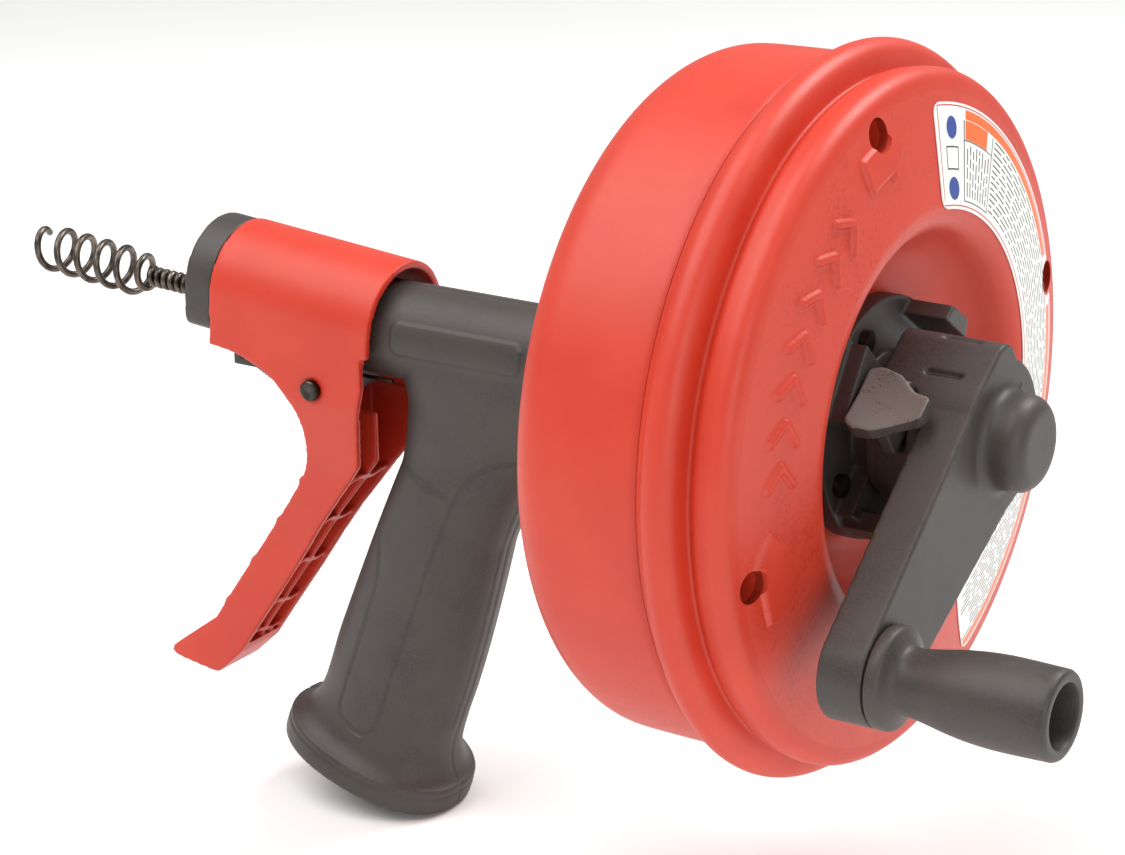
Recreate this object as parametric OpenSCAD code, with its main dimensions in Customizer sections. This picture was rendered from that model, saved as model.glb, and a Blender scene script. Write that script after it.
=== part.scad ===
// Hand-held drum drain snake with a pull-off crank.
// Frame: +X runs to the rear along the drum's axis, the nose points to -X and +Z is up.
// The origin is on that axis at the root of the hex drive shank.

/* [Drum] */
// Outer radius of the drum's front shell
drum_r = 92.6; // [86:0.2:112]
// Depth of the front shell, from its front face to the seam
front_depth = 41; // [34:0.5:50]
// Radius of the rounded edge of the front shell
front_edge_r = 9.5; // [5:0.5:12]
// Depth of the rear cover, from the seam to the rim of its dish
cover_depth = 31.6; // [30:0.2:38]
// How far the bead stands out from the front shell
bead_rise = 6.4; // [4:0.2:8]
// Wall of the drum's two shells
drum_wall = 2.4; // [1.8:0.1:3]
// Radius of the dish at its rim
dish_rim_r = 52.3; // [46:0.1:60]
// Radius of the dish's flat floor
dish_floor_r = 33; // [30:0.5:38]
// Distance of the cover screws from the axis
drum_screw_r = 82.7; // [76:0.1:83]
// Turn of the first cover screw from +Y
drum_screw_turn = 13; // [0:1:45]
// Radius of the recess over each cover screw
screw_recess_r = 4.4; // [3.8:0.1:4.6]

/* [Hub and shank] */
// Thickness of the drive hub's plate
hub_t = 5.7; // [4:0.1:8]
// Height of the hub's ring wall that the latches catch
hub_ring_h = 12; // [10:0.5:14]
// Inner radius of the hub's ring wall
hub_ring_r = 15.3; // [14.6:0.1:15.6]
// Height of the fin that stands on the hub's plate
fin_h = 13; // [10:0.5:14]
// Across-flats size of the hex drive shank
shank_af = 8; // [6.4:0.1:8.4]
// Length of the hex shank outside the hub
shank_len = 38; // [34:0.5:39]

/* [Cable] */
// Diameter of the cable
cable_d = 6.35; // [5:0.05:6.6]
// Outer radius of the bulb's coils
bulb_r = 7.1; // [6:0.1:8]
// Diameter of the bulb's wire
bulb_wire_d = 2.1; // [1.4:0.1:2]
// Distance between the bulb's turns
bulb_pitch = 7.6; // [6:0.1:9]

/* [Barrel and nose] */
// Outer radius of the barrel
barrel_r = 13.9; // [13:0.1:14.6]
// Outer radius of the guide tube that the drum turns on
tube_r = 9; // [7.5:0.1:9.6]
// Bore radius of the guide tube
tube_bore_r = 3.9; // [3.5:0.05:4.4]
// Length of the barrel, from its front end to the drum's hub
barrel_len = 98; // [90:1:110]
// Outer radius of the trigger's nose shell
shell_r = 18.5; // [18:0.1:20]
// Wall of the nose shell
shell_wall = 2.3; // [1.8:0.1:2.6]
// Length of the nose shell
shell_len = 56; // [54:0.5:58]
// How far the nose stands up while the trigger is free
trigger_rest_tilt = 5; // [4:0.5:6]
// Radius of the trigger's pin
trigger_pin_r = 2.5; // [2:0.1:3]
// Radius of the feed rollers
roller_r = 5; // [4.4:0.1:5.3]
// Length of the feed rollers
roller_len = 10; // [8:0.5:11]
// Turn of the rollers' axles away from the cable
roller_skew = 15; // [10:1:18]

/* [Grip] */
// Distance along the grip from the barrel's axis to the foot's sole
grip_len = 144.2; // [130:0.1:170]
// Forward lean of the grip
grip_lean = 19.2; // [15:0.2:22]
// Half the depth of the grip at the palm
grip_half_depth = 22.6; // [21:0.1:27]
// Half the width of the grip at the palm
grip_half_width = 16.8; // [15.4:0.1:19]
// Half the width of the foot
foot_half_width = 22.8; // [20:0.2:26]
// Thickness of the foot's rim
foot_t = 8; // [6:0.5:10]
// Wall of the grip's half shells
grip_wall = 2.6; // [2:0.1:3]

/* [Crank] */
// Direction of the crank arm, turned from +Y towards +Z
crank_turn = 215; // [0:1:359]
// Distance from the drum's axis to the knob's axis
crank_throw = 75; // [64:0.5:80]
// Radius of the crank's head
head_r = 20.9; // [20.4:0.1:21.6]
// Depth of the crank's head
head_depth = 28.6; // [26:0.1:31]
// Wall of the crank's head
head_wall = 2.5; // [2:0.1:2.7]
// Thickness of the arm
arm_t = 12.4; // [10:0.2:14]
// Half the width of the arm at the knob
arm_end_r = 13.3; // [12:0.1:14]
// Radius of the dome over the shank's end
dome_r = 13.4; // [11:0.1:15]
// Height of the dome
dome_h = 11.4; // [9:0.1:14]
// Length of the knob
knob_len = 47.9; // [44:0.2:62]
// Radius of the knob's swell
knob_r = 11.7; // [11.6:0.1:13]
// Radius of the knob's axle
knob_axle_r = 4; // [3:0.1:4.4]

/* [Fits] */
// Radial clearance of a running fit
run_gap = 0.05; // [0.02:0.01:0.1]
// Gap between moving faces
face_gap = 0.3; // [0.2:0.05:0.5]
// Clearance of pieces that are held fast in each other
seat_gap = 0.05; // [0.02:0.01:0.08]

/* [Hidden] */

$fn = 64;
RED = "#e0402f";
BLACK = "#3a3634";
STEEL = "#9a9a98";

// Drum, from the shank's root forwards
dish_depth = 19.3;
rim_x = dish_depth - hub_t;
seam_x = rim_x - cover_depth;
front_x = seam_x - front_depth;
bead_x = seam_x + 7;
bead_round = 4.9;
bead_r = drum_r + bead_rise;
lip_r = drum_r + 0.5;
valley_r = drum_r - 3.8;
valley_x = bead_x + 6;
side_r = drum_r - 1.4;
edge_x = rim_x - 11.8;
edge_r = 4.7;
face_drop = 1;
face_in_r = dish_rim_r + 2.8;
cover_bore_r = 14;
hub_r = dish_floor_r - 0.6;
lobe_h = hub_t - 0.5;
hub_bore_r = 12 + seat_gap;
front_hub_r = 17;
front_hub_x = front_x - 4;
front_hub_len = 21;
screw_boss_r = 5.8;
register_len = 4;
register_t = 1.6;
cover_screw_r = 1.8;
cover_seat_x = bead_x - 2;

// Barrel, feed head and trigger
bush_flange_t = 2;
barrel_end_x = front_hub_x - bush_flange_t - face_gap;
barrel_x = barrel_end_x - barrel_len;
spigot_len = 14;
collar_r = 11;
collar_t = 3;
tube_x = barrel_x + spigot_len + face_gap;
tube_end_x = front_hub_x + front_hub_len + 4;
pin_x = barrel_x - 9.6;
pin_z = -(barrel_r + 2.3);
pin_y = shell_r + 0.3;
pin_head_r = trigger_pin_r + 0.5;
shell_x = barrel_x - 47.3;
shell_z = 3;
shell_in_r = shell_r - shell_wall;
ring_x = shell_x - 9.6;
ring_arch_r = shell_r - 1;
cable_r = cable_d / 2;
slot_r = tube_bore_r + 0.1;
roller_x = barrel_x - 32.7;
roller_off = roller_r + cable_r + face_gap;
axle_r = 1.6;
web_t = 2.4;
web_half = roller_len / 2 + 3;
lug_half = 11.5;
pin_lug_half = 9;
spring_wire_r = 0.6;
spring_r = trigger_pin_r + 1.5;
cradle_end_x = pin_x - spring_r - spring_wire_r - 0.8;

// Grip
grip_x = barrel_x + 43.9;
neck_half = 13;
foot_shift = -1.2;
foot_side = grip_half_depth + 6.9 - foot_half_width;
screw_r = 1.5;
screw_head_r = 3;
screw_seat_y = 9;
boss_r = 4.2;

// Crank, in its own frame: X along the shank, Y along the arm
head_x = hub_t;
arm_out_x = head_x + head_depth;
arm_in_x = arm_out_x - arm_t;
roof_x = arm_out_x - 3;
core_r = 7.8;
head_in_r = head_r - head_wall;
arm_root_r = 20;
knob_x = arm_out_x + face_gap;
knob_end_x = knob_x + knob_len;
knob_floor_x = knob_end_x - 12.4;
knob_bore_r = 8.1;
latch_x = hub_ring_h + 0.8;
latch_t = 4;
latch_lip_r = hub_ring_r - 1.7;
lip_t = 3;
hook_half = 4;
hook_out = hub_ring_r - 1;
leg_out = latch_lip_r - 1.3;
leg_in = leg_out - 2.1;
latch_travel = 1.6;
pad_in = head_r + latch_travel + face_gap;
pad_out = pad_in + 5.7;
stem_y1 = 20;
latch_spring_r = 2;
spring_y = 7;
web_reach = 8;

// Cable store
coil_columns = 5;
coil_rows = 4;
turn_gap = 0.05;
turn_step = cable_d + turn_gap;
coil_r = drum_screw_r - screw_boss_r - 0.3 - cable_r;
coil_x = front_x + drum_wall + 0.5 + cable_r;
lead_tip_x = ring_x - 26;
bend_r = 20;
bulb_tilt = 5;

// ---- shared shapes ----

// Cylinder along X
module bar_x(x0, x1, r) {
    translate([x0, 0, 0]) rotate([0, 90, 0]) cylinder(h = x1 - x0, r = r);
}

// Cylinder along Y
module bar_y(y0, y1, r) {
    translate([0, y0, 0]) rotate([-90, 0, 0]) cylinder(h = y1 - y0, r = r);
}

// Flat outline in Y and Z, drawn out along X
module plate_x(x0, x1) {
    translate([x0, 0, 0]) rotate([90, 0, 90]) linear_extrude(x1 - x0) children();
}

// Flat outline in X and Z, drawn out along Y
module plate_y(y0, y1) {
    translate([0, y1, 0]) rotate([90, 0, 0]) linear_extrude(y1 - y0) children();
}

// Box given by its two corners
module block(a, b) {
    translate(a) cube(b - a);
}

// Profile of [radius, x] points spun about X
module spin(points) {
    rotate([0, 90, 0]) rotate_extrude($fn = 96) polygon(points);
}

// Hex bar along X
module hex_x(x0, x1, af) {
    translate([x0, 0, 0]) rotate([0, 90, 0]) cylinder(h = x1 - x0, r = af / sqrt(3), $fn = 6);
}

// [radius, x] points on an arc, where turn 0 points outwards and 90 to the rear
function arc(r0, x0, r, a0, a1, n) =
    [for (i = [0:n]) let (a = a0 + (a1 - a0) * i / n) [r0 + r * cos(a), x0 + r * sin(a)]];
function turned_back(list) = [for (i = [len(list) - 1:-1:0]) list[i]];

// Two rounds joined by their tangents
module taper_link(r1, r2, d) {
    a = acos((r1 - r2) / d);
    circle(r1);
    translate([d, 0]) circle(r2);
    polygon([
        [r1 * cos(a), r1 * sin(a)], [d + r2 * cos(a), r2 * sin(a)],
        [d + r2 * cos(a), -r2 * sin(a)], [r1 * cos(a), -r1 * sin(a)]]);
}

// ---- cable sweep ----

function unit(v) = v / norm(v);

// Round tube along a list of points; keep names the side that the rings are counted from
module tube_along(path, r, keep, n = 8) {
    last = len(path) - 1;
    rings = [for (i = [0:last])
        let (d = unit(path[min(i + 1, last)] - path[max(i - 1, 0)]),
            side = unit(cross(d, keep)), up = cross(side, d))
        for (k = [0:n - 1]) path[i] + r * (cos(360 * k / n) * side + sin(360 * k / n) * up)];
    sides = [for (i = [0:last - 1]) for (k = [0:n - 1])
        let (a = i * n + k, b = i * n + (k + 1) % n)
        each [[a, a + n, b + n], [a, b + n, b]]];
    polyhedron(rings, concat(
        sides, [[for (k = [0:n - 1]) k]], [[for (k = [n - 1:-1:0]) last * n + k]]), convexity = 8);
}

function bezier(a, b, c, d, t) =
    pow(1 - t, 3) * a + 3 * pow(1 - t, 2) * t * b + 3 * (1 - t) * t * t * c + pow(t, 3) * d;

// ---- drum ----

// Outline of the cover, moved in by t
function cover_line(t) = concat(
    [[lip_r - t, seam_x]],
    arc(bead_r - bead_round, bead_x, bead_round - t, -80, 80, 6),
    [[valley_r - t, valley_x], [side_r - 0.8 - t, valley_x + 2.4]],
    arc(side_r - edge_r, edge_x, edge_r - t, 0, 75, 4),
    [[face_in_r, rim_x - face_drop - t]],
    arc(dish_floor_r, rim_x, dish_rim_r - dish_floor_r + t, -8, -90, 8),
    [[cover_bore_r, -hub_t - t]]);

module at_cover_screws() {
    for (k = [0:3])
        rotate([drum_screw_turn + 90 * k, 0, 0]) translate([0, drum_screw_r, 0]) children();
}

module at_hub_screws() {
    for (k = [0:3])
        rotate([25 + 90 * k, 0, 0]) translate([0, dish_floor_r - 6.5, 0]) children();
}

module drum_front() {
    corner_r = drum_r - front_edge_r;
    corner_x = front_x + front_edge_r;
    color(RED) difference() {
        union() {
            spin(concat(
                [[front_hub_r - 1, front_x - 1.4], [corner_r, front_x]],
                arc(corner_r, corner_x, front_edge_r, -90, 0, 6),
                [[lip_r, seam_x], [lip_r - drum_wall, seam_x]],
                turned_back(arc(corner_r, corner_x, front_edge_r - drum_wall, -90, 0, 6)),
                [[corner_r, front_x + drum_wall], [front_hub_r - 1, front_x + drum_wall - 1.4]]));
            // lip that seats in the cover
            difference() {
                bar_x(seam_x - 3, seam_x + register_len, lip_r - drum_wall - seat_gap);
                bar_x(seam_x - 4, seam_x + register_len + 1, lip_r - drum_wall - register_t);
            }
            bar_x(front_hub_x, front_hub_x + front_hub_len, front_hub_r);
            at_cover_screws() {
                bar_x(front_x + drum_wall, seam_x - seat_gap, screw_boss_r);
                block([front_x + front_edge_r, 0, -1.5], [seam_x - 1, drum_r - drum_screw_r - 1, 1.5]);
            }
        }
        bar_x(front_hub_x - 1, front_hub_x + front_hub_len + 1, hub_bore_r);
        at_cover_screws() bar_x(seam_x - 14, seam_x + 1, cover_screw_r + seat_gap);
    }
}

module drum_rear() {
    color(RED) difference() {
        union() {
            spin(concat(cover_line(0), turned_back(cover_line(drum_wall))));
            at_cover_screws() bar_x(seam_x, rim_x - 6.5, screw_boss_r);
            at_hub_screws() bar_x(-hub_t - drum_wall - 5, -hub_t - 1, 4);
        }
        at_cover_screws() {
            bar_x(cover_seat_x, rim_x + 2, screw_recess_r);
            bar_x(seam_x - 1, rim_x, cover_screw_r + seat_gap);
        }
        at_hub_screws() bar_x(-hub_t - drum_wall - 4.4, 0, screw_r + seat_gap);
        // room for the front shell's lip
        difference() {
            bar_x(seam_x - 1, seam_x + register_len + face_gap, lip_r - drum_wall);
            bar_x(seam_x - 2, seam_x + register_len + 1, lip_r - drum_wall - register_t - face_gap);
        }
    }
}

module drum_bush() {
    color("#c9c4b8") difference() {
        union() {
            bar_x(front_hub_x - bush_flange_t, front_hub_x, front_hub_r - 1);
            bar_x(front_hub_x - 1, front_hub_x + front_hub_len, hub_bore_r - seat_gap);
        }
        bar_x(front_hub_x - 3, front_hub_x + front_hub_len + 1, tube_r + run_gap);
    }
}

module drum_screws() {
    color(STEEL) at_cover_screws() difference() {
        union() {
            bar_x(seam_x - 12, cover_seat_x + 0.5, cover_screw_r);
            bar_x(cover_seat_x, cover_seat_x + 2.6, 3.4);
        }
        bar_x(cover_seat_x + 1.2, cover_seat_x + 3, 1.2);
    }
}

module rating_label() {
    t = 0.3;
    outer_r = side_r - edge_r - 3;
    inner_r = face_in_r + 1;
    face_out_r = side_r - edge_r + edge_r * cos(75);
    slope = (rim_x - face_drop - (edge_x + edge_r * sin(75))) / (face_out_r - face_in_r);
    face_x = function (r) rim_x - face_drop - (r - face_in_r) * slope;
    color("white") intersection() {
        translate([0.02, 0, 0]) spin([[inner_r, face_x(inner_r)], [outer_r, face_x(outer_r)],
            [outer_r, face_x(outer_r) + t], [inner_r, face_x(inner_r) + t]]);
        plate_x(0, rim_x + 2) polygon([[0, 0], 140 * [cos(-67), sin(-67)],
            [160, -60], [160, 60], 140 * [cos(79), sin(79)]]);
    }
}

// ---- hub and shank ----

module drive_hub() {
    color(BLACK) difference() {
        union() {
            bar_x(-hub_t, 0, hub_r);
            bar_x(-hub_t - drum_wall, 0, cover_bore_r - seat_gap);
            difference() {
                bar_x(-1, hub_ring_h, hub_ring_r + 2.3);
                bar_x(0, hub_ring_h - lip_t, hub_ring_r);
                bar_x(-0.1, hub_ring_h + 1, latch_lip_r);
            }
            // raised lobes under the crank's head, and a fin at either end of its arm's line
            for (turn = [145, 235, 325]) rotate([turn, 0, 0])
                plate_x(-1, lobe_h) polygon([
                    [hub_ring_r + 1, -8], [hub_r - 2.6, -10.5],
                    [hub_r - 2.6, 10.5], [hub_ring_r + 1, 8]]);
            for (turn = [55, 235]) rotate([turn, 0, 0])
                plate_x(-1, fin_h) polygon([[hub_r - 5.6, -7], [hub_r - 0.8, -5], [hub_r - 0.8, 5],
                    [hub_r - 5.6, 7]]);
        }
        in_crank() hex_x(-hub_t - drum_wall - 1, 1, shank_af + 2 * seat_gap);
        at_hub_screws() bar_x(-hub_t - 1, 3, screw_r + seat_gap);
    }
}

module drive_shank() {
    root_x = -hub_t - drum_wall - 3.2;
    color(STEEL) {
        in_crank() hex_x(root_x, shank_len, shank_af);
        bar_x(root_x, root_x + 3, 8);
    }
}

module hub_screws() {
    color(STEEL) at_hub_screws() {
        bar_x(0, 2, screw_head_r);
        bar_x(-hub_t - drum_wall - 4, 0.5, screw_r);
    }
}

// ---- cable ----

// Wound turns against the drum's wall
module cable_coil() {
    color("#6d6a66") rotate([0, 90, 0]) rotate_extrude($fn = 96)
        for (c = [0:coil_columns - 1]) for (k = [0:coil_rows - 1])
            if (k < coil_rows - 1 || c < coil_columns - 2)
                translate([coil_r - k * turn_step, coil_x + c * turn_step]) circle(cable_r);
}

// Run of the cable from the innermost turn to the guide tube
module cable_inlet() {
    start_x = coil_x + (coil_columns - 1) * turn_step;
    start_r = coil_r - (coil_rows - 1) * turn_step;
    top_x = tube_end_x + 2;
    sweep_in = [for (i = [0:9]) bezier([start_x, start_r, 0], [start_x, start_r - 6, -24],
        [top_x + bend_r, bend_r + 22, 0], [top_x + bend_r, bend_r, 0], i / 10)];
    sweep_down = [for (i = [0:6]) [top_x + bend_r * cos(15 * i), bend_r * (1 - sin(15 * i)), 0]];
    path = concat(sweep_in, sweep_down, [[tube_end_x + face_gap, 0, 0]]);
    color("#6d6a66") tube_along(path, cable_r, [0, 0.2, 1]);
}

// Clip that ties the last outer turn to the drum's wall
module cable_clip() {
    clip_x = coil_x + (coil_columns - 1) * turn_step;
    color(STEEL) rotate([58, 0, 0]) difference() {
        block([clip_x - 3, coil_r, -5], [clip_x + 5, lip_r - drum_wall - 0.6, 5]);
        rotate([0, 90, 0]) rotate_extrude($fn = 96) translate([coil_r, clip_x]) circle(cable_r + 0.2);
        block([clip_x + 2, coil_r - 1, -7], [clip_x + 7, coil_r + cable_r + 0.3, 7]);
    }
}

module cable_lead() {
    color("#6d6a66") bar_x(lead_tip_x, tube_end_x, cable_r);
}

// Radius of the bulb's wire path after t turns
function bulb_path_r(t) = min(cable_r + bulb_wire_d / 2 + 0.05 + 1.2 * t, bulb_r - bulb_wire_d / 2);

module bulb_auger() {
    turns = 6;
    steps = 14;
    run = function (t) max(t - 1, 0) * bulb_pitch + min(t, 1) * 2.4;
    path = [for (i = [0:turns * steps]) let (t = i / steps)
        [lead_tip_x + 2 - run(t), bulb_path_r(t) * cos(360 * t),
            -bulb_path_r(t) * sin(360 * t) + run(t) * tan(bulb_tilt)]];
    color("#6d6a66") tube_along(path, bulb_wire_d / 2, [1, 0, 0]);
}

// ---- barrel and grip ----

module in_grip() {
    translate([grip_x, 0, 0]) rotate([0, grip_lean, 0]) children();
}

// Thin slice of the grip, at s along it
module grip_slice(s, a, b) {
    translate([0, 0, -s]) scale([a, b, 1]) cylinder(h = 0.4, r = 1, $fn = 32);
}

module grip_outside() {
    a = grip_half_depth;
    b = grip_half_width;
    palm = [[44, a - 4.4, b - 2.6], [66, a - 2.4, b - 0.9], [92, a - 0.8, b], [116, a, b],
        [grip_len - foot_t - 8, a - 1.6, b - 0.6]];
    bar_x(barrel_x, barrel_end_x, barrel_r);
    plate_y(-neck_half, neck_half) polygon([
        [barrel_x + 12, -6], [barrel_end_x - 22, -6], [barrel_end_x - 24, -15], [grip_x + 12, -32],
        [grip_x + 4, -54], [grip_x - 36, -54], [grip_x - 33, -34], [barrel_x + 15, -17]]);
    in_grip() {
        for (i = [0:len(palm) - 2]) hull() {
            grip_slice(palm[i][0], palm[i][1], palm[i][2]);
            grip_slice(palm[i + 1][0], palm[i + 1][1], palm[i + 1][2]);
        }
        hull() {
            grip_slice(grip_len - foot_t - 8, a - 1.6, b - 0.6);
            grip_slice(grip_len - foot_t, a + 1, b + 3);
        }
        translate([foot_shift, 0, -grip_len]) {
            for (side = [-1, 1])
                translate([side * foot_side, 0, 0]) cylinder(h = foot_t, r = foot_half_width);
            translate([-foot_side, -foot_half_width, 0]) cube([2 * foot_side, 2 * foot_half_width, foot_t]);
        }
    }
}

module grip_cavity() {
    a = grip_half_depth - grip_wall;
    b = grip_half_width - grip_wall;
    in_grip() {
        hull() {
            grip_slice(50, a - 4, b - 2.4);
            grip_slice(92, a - 0.8, b);
        }
        hull() {
            grip_slice(92, a - 0.8, b);
            grip_slice(grip_len - foot_t - 8, a - 1.6, b - 0.6);
        }
    }
    plate_y(-neck_half + grip_wall, neck_half - grip_wall) polygon([
        [barrel_x + 20, -17], [barrel_end_x - 30, -17], [grip_x + 9, -33], [grip_x + 2, -52],
        [grip_x - 32, -52], [grip_x - 29, -33]]);
}

// Places of the housing screws in the neck and in the palm
module at_neck_screws() {
    translate([barrel_x + 25, 0, -20]) children();
    translate([barrel_end_x - 42, 0, -20]) children();
}

module at_palm_screws() {
    in_grip() for (s = [72, 116]) translate([0, 0, -s]) children();
}

module at_housing_screws() {
    at_neck_screws() children();
    at_palm_screws() children();
}

// Whole grip; each half takes its own side of it
module grip_whole() {
    difference() {
        union() {
            difference() {
                grip_outside();
                grip_cavity();
            }
            at_neck_screws() bar_y(-neck_half + 1, neck_half - 1, boss_r);
            at_palm_screws() bar_y(-grip_half_width + 1.6, grip_half_width - 1.6, boss_r);
        }
        bar_x(barrel_x + spigot_len, barrel_end_x + 1, tube_r + seat_gap);
        bar_x(barrel_x - 1, barrel_x + spigot_len + 1, tube_r + seat_gap);
        // recesses that trap the collars of the feed head and of the guide tube
        bar_x(barrel_x + 6, barrel_x + 6 + collar_t + 2 * seat_gap, collar_r + seat_gap);
        bar_x(tube_x + 8, tube_x + 8 + collar_t + 2 * seat_gap, collar_r + seat_gap);
        at_housing_screws() {
            bar_y(-screw_seat_y, screw_seat_y, screw_r + seat_gap);
            bar_y(screw_seat_y, 30, screw_head_r + 0.3);
        }
    }
}

module grip_left() {
    color(BLACK) intersection() {
        grip_whole();
        block([-260, -60, -200], [0, 0, 60]);
    }
}

module grip_right() {
    color(BLACK) intersection() {
        grip_whole();
        block([-260, 0, -200], [0, 60, 60]);
    }
}

module housing_screws() {
    color(STEEL) at_housing_screws() {
        bar_y(-screw_seat_y + 0.4, screw_seat_y + 0.4, screw_r);
        bar_y(screw_seat_y, screw_seat_y + 2.2, screw_head_r);
    }
}

module guide_tube() {
    color(STEEL) difference() {
        union() {
            bar_x(tube_x, tube_end_x, tube_r);
            bar_x(tube_x + 8 + seat_gap, tube_x + 8 + seat_gap + collar_t, collar_r);
        }
        bar_x(tube_x - 1, tube_end_x + 1, tube_bore_r);
        // groove for the retaining ring
        difference() {
            bar_x(tube_end_x - 2.6, tube_end_x - 1.4, tube_r + 1);
            bar_x(tube_end_x - 3, tube_end_x - 1, tube_r - 0.8);
        }
    }
}

module thrust_washer() {
    x0 = front_hub_x + front_hub_len + face_gap;
    color(STEEL) difference() {
        bar_x(x0, tube_end_x - 2.6, front_hub_r - 3);
        bar_x(x0 - 1, tube_end_x, tube_r + seat_gap);
    }
}

module retaining_ring() {
    color(STEEL) difference() {
        bar_x(tube_end_x - 2.55, tube_end_x - 1.45, tube_r + 2);
        bar_x(tube_end_x - 3, tube_end_x - 1, tube_r - 0.75);
        block([tube_end_x - 3, -2, 0], [tube_end_x - 1, 2, tube_r + 4]);
    }
}

// ---- nose ----

// Places one roller or axle beside the cable, turned round it and skewed
module at_roller(turn, off) {
    rotate([turn, 0, 0]) translate([roller_x, off, 0]) rotate([0, roller_skew, 0]) children();
}

module feed_head() {
    floor_z = -(roller_off + axle_r + 3.4);
    color(BLACK) difference() {
        union() {
            bar_x(barrel_x - 16, barrel_x, barrel_r - 0.4);
            bar_x(barrel_x - 0.5, barrel_x + spigot_len, tube_r);
            bar_x(barrel_x + 6 + seat_gap, barrel_x + 6 + seat_gap + collar_t, collar_r);
            // lug round the trigger's pin
            translate([pin_x, 0, pin_z]) bar_y(-pin_lug_half, pin_lug_half, trigger_pin_r + 3);
            block([pin_x - 5.4, -pin_lug_half, pin_z], [pin_x + 5.4, pin_lug_half, -barrel_r + 6]);
            // cradle of the lower rollers
            block([roller_x - web_half - web_t, -lug_half, floor_z - 2.4],
                [cradle_end_x, lug_half, floor_z]);
            block([cradle_end_x - 1, -pin_lug_half, floor_z - 2.4], [barrel_x - 10, pin_lug_half, floor_z]);
            for (side = [-1, 1])
                block([roller_x + side * (web_half + web_t / 2) - web_t / 2, -lug_half, floor_z - 1],
                    [roller_x + side * (web_half + web_t / 2) + web_t / 2, lug_half, 2.5]);
            block([roller_x + web_half, -lug_half, floor_z - 1], [cradle_end_x, -lug_half + web_t, 2.5]);
            block([roller_x + web_half, lug_half - web_t, floor_z - 1], [cradle_end_x, lug_half, 2.5]);
            // lug that shows below the nose shell
            plate_y(-5, 5) polygon([
                [shell_x + 4, floor_z - 0.5], [shell_x + 4, floor_z - 3.2], [shell_x + 18.5, pin_z - 8],
                [shell_x + 24, pin_z - 8], [shell_x + 24, floor_z - 0.5]]);
        }
        bar_x(shell_x - 20, barrel_x + spigot_len + 1, tube_bore_r);
        translate([pin_x, 0, pin_z]) bar_y(-30, 30, trigger_pin_r + seat_gap / 2);
        for (turn = [-30, -150]) at_roller(turn, roller_off)
            bar_x(-web_half - web_t - 3, web_half + web_t + 3, axle_r + seat_gap / 2);
    }
}

module lower_axles() {
    color(STEEL) for (turn = [-30, -150]) at_roller(turn, roller_off)
        bar_x(-web_half - web_t / 2 - 0.4, web_half + web_t / 2 + 0.4, axle_r);
}

module roller() {
    difference() {
        bar_x(-roller_len / 2, roller_len / 2, roller_r);
        bar_x(-roller_len, roller_len, axle_r + run_gap);
    }
}

module lower_roller_near() {
    color("#b9b4a8") at_roller(-150, roller_off) roller();
}

module lower_roller_far() {
    color("#b9b4a8") at_roller(-30, roller_off) roller();
}

module trigger_pin() {
    color(BLACK) translate([pin_x, 0, pin_z]) {
        bar_y(-pin_y, pin_y + 3, trigger_pin_r);
        bar_y(-pin_y - 1.6, -pin_y, pin_head_r);
    }
}

module pin_clip() {
    color(STEEL) translate([pin_x, 0, pin_z]) difference() {
        bar_y(pin_y, pin_y + 1.2, trigger_pin_r + 2);
        bar_y(pin_y - 1, pin_y + 3, trigger_pin_r + seat_gap / 2);
        block([-1, pin_y - 1, 0], [1, pin_y + 3, 8]);
    }
}

module trigger_spring() {
    y0 = -pin_lug_half - spring_wire_r - 0.5;
    pitch = 2.2 * spring_wire_r;
    turns = 2.25;
    coil = [for (i = [0:12 * turns]) let (a = 30 * i)
        [-spring_r * cos(a), y0 - pitch * (turns - i / 12), spring_r * sin(a)]];
    // one leg pushes the lever forwards, the other bears on the grip's neck
    lever_leg = [[0.3 - spring_r, y0 - pitch * turns, -14], [0.1 - spring_r, y0 - pitch * turns, -6]];
    neck_leg = [[8, y0, spring_r], [barrel_x + 12.9 - pin_x, y0, spring_r]];
    color(STEEL) translate([pin_x, 0, pin_z])
        tube_along(concat(lever_leg, coil, neck_leg), spring_wire_r, [0, 1, 0]);
}

// ---- trigger ----

// Turns the level nose up to where it stands while the trigger is free
module nose_up() {
    translate([pin_x, 0, pin_z]) rotate([0, trigger_rest_tilt, 0])
        translate([-pin_x, 0, -pin_z]) children();
}

// Side outline of the cheeks and the lever
module lever_outline() {
    translate([pin_x, 0]) polygon([
        [-35.6, 4], [-36.8, -8.5], [-27, -10], [-17, -14], [-11, -19], [-9.5, -23.2],
        [-7.1, -32.8], [-8.4, -43], [-13.8, -53.2], [-24.6, -70.3], [-35.6, -86.5],
        [-45, -101.7], [-62.5, -112.8], [-43.4, -113.3], [-38, -108.3], [-30, -96.9],
        [-18.5, -80.8], [-4.9, -60.8], [11.6, -39.4], [14.6, -24.4], [17, -14], [17, 4]]);
}

// Front outline of the lever, moved in by t
module lever_front(t) {
    w = shell_r;
    side = [[w - t, 20], [w - t, -20], [w - 6 - t, -45], [w - 8.6 - t, -70], [w - 9 - t, -130]];
    polygon(concat(side, [for (p = turned_back(side)) [-p[0], p[1]]]));
}

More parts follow.
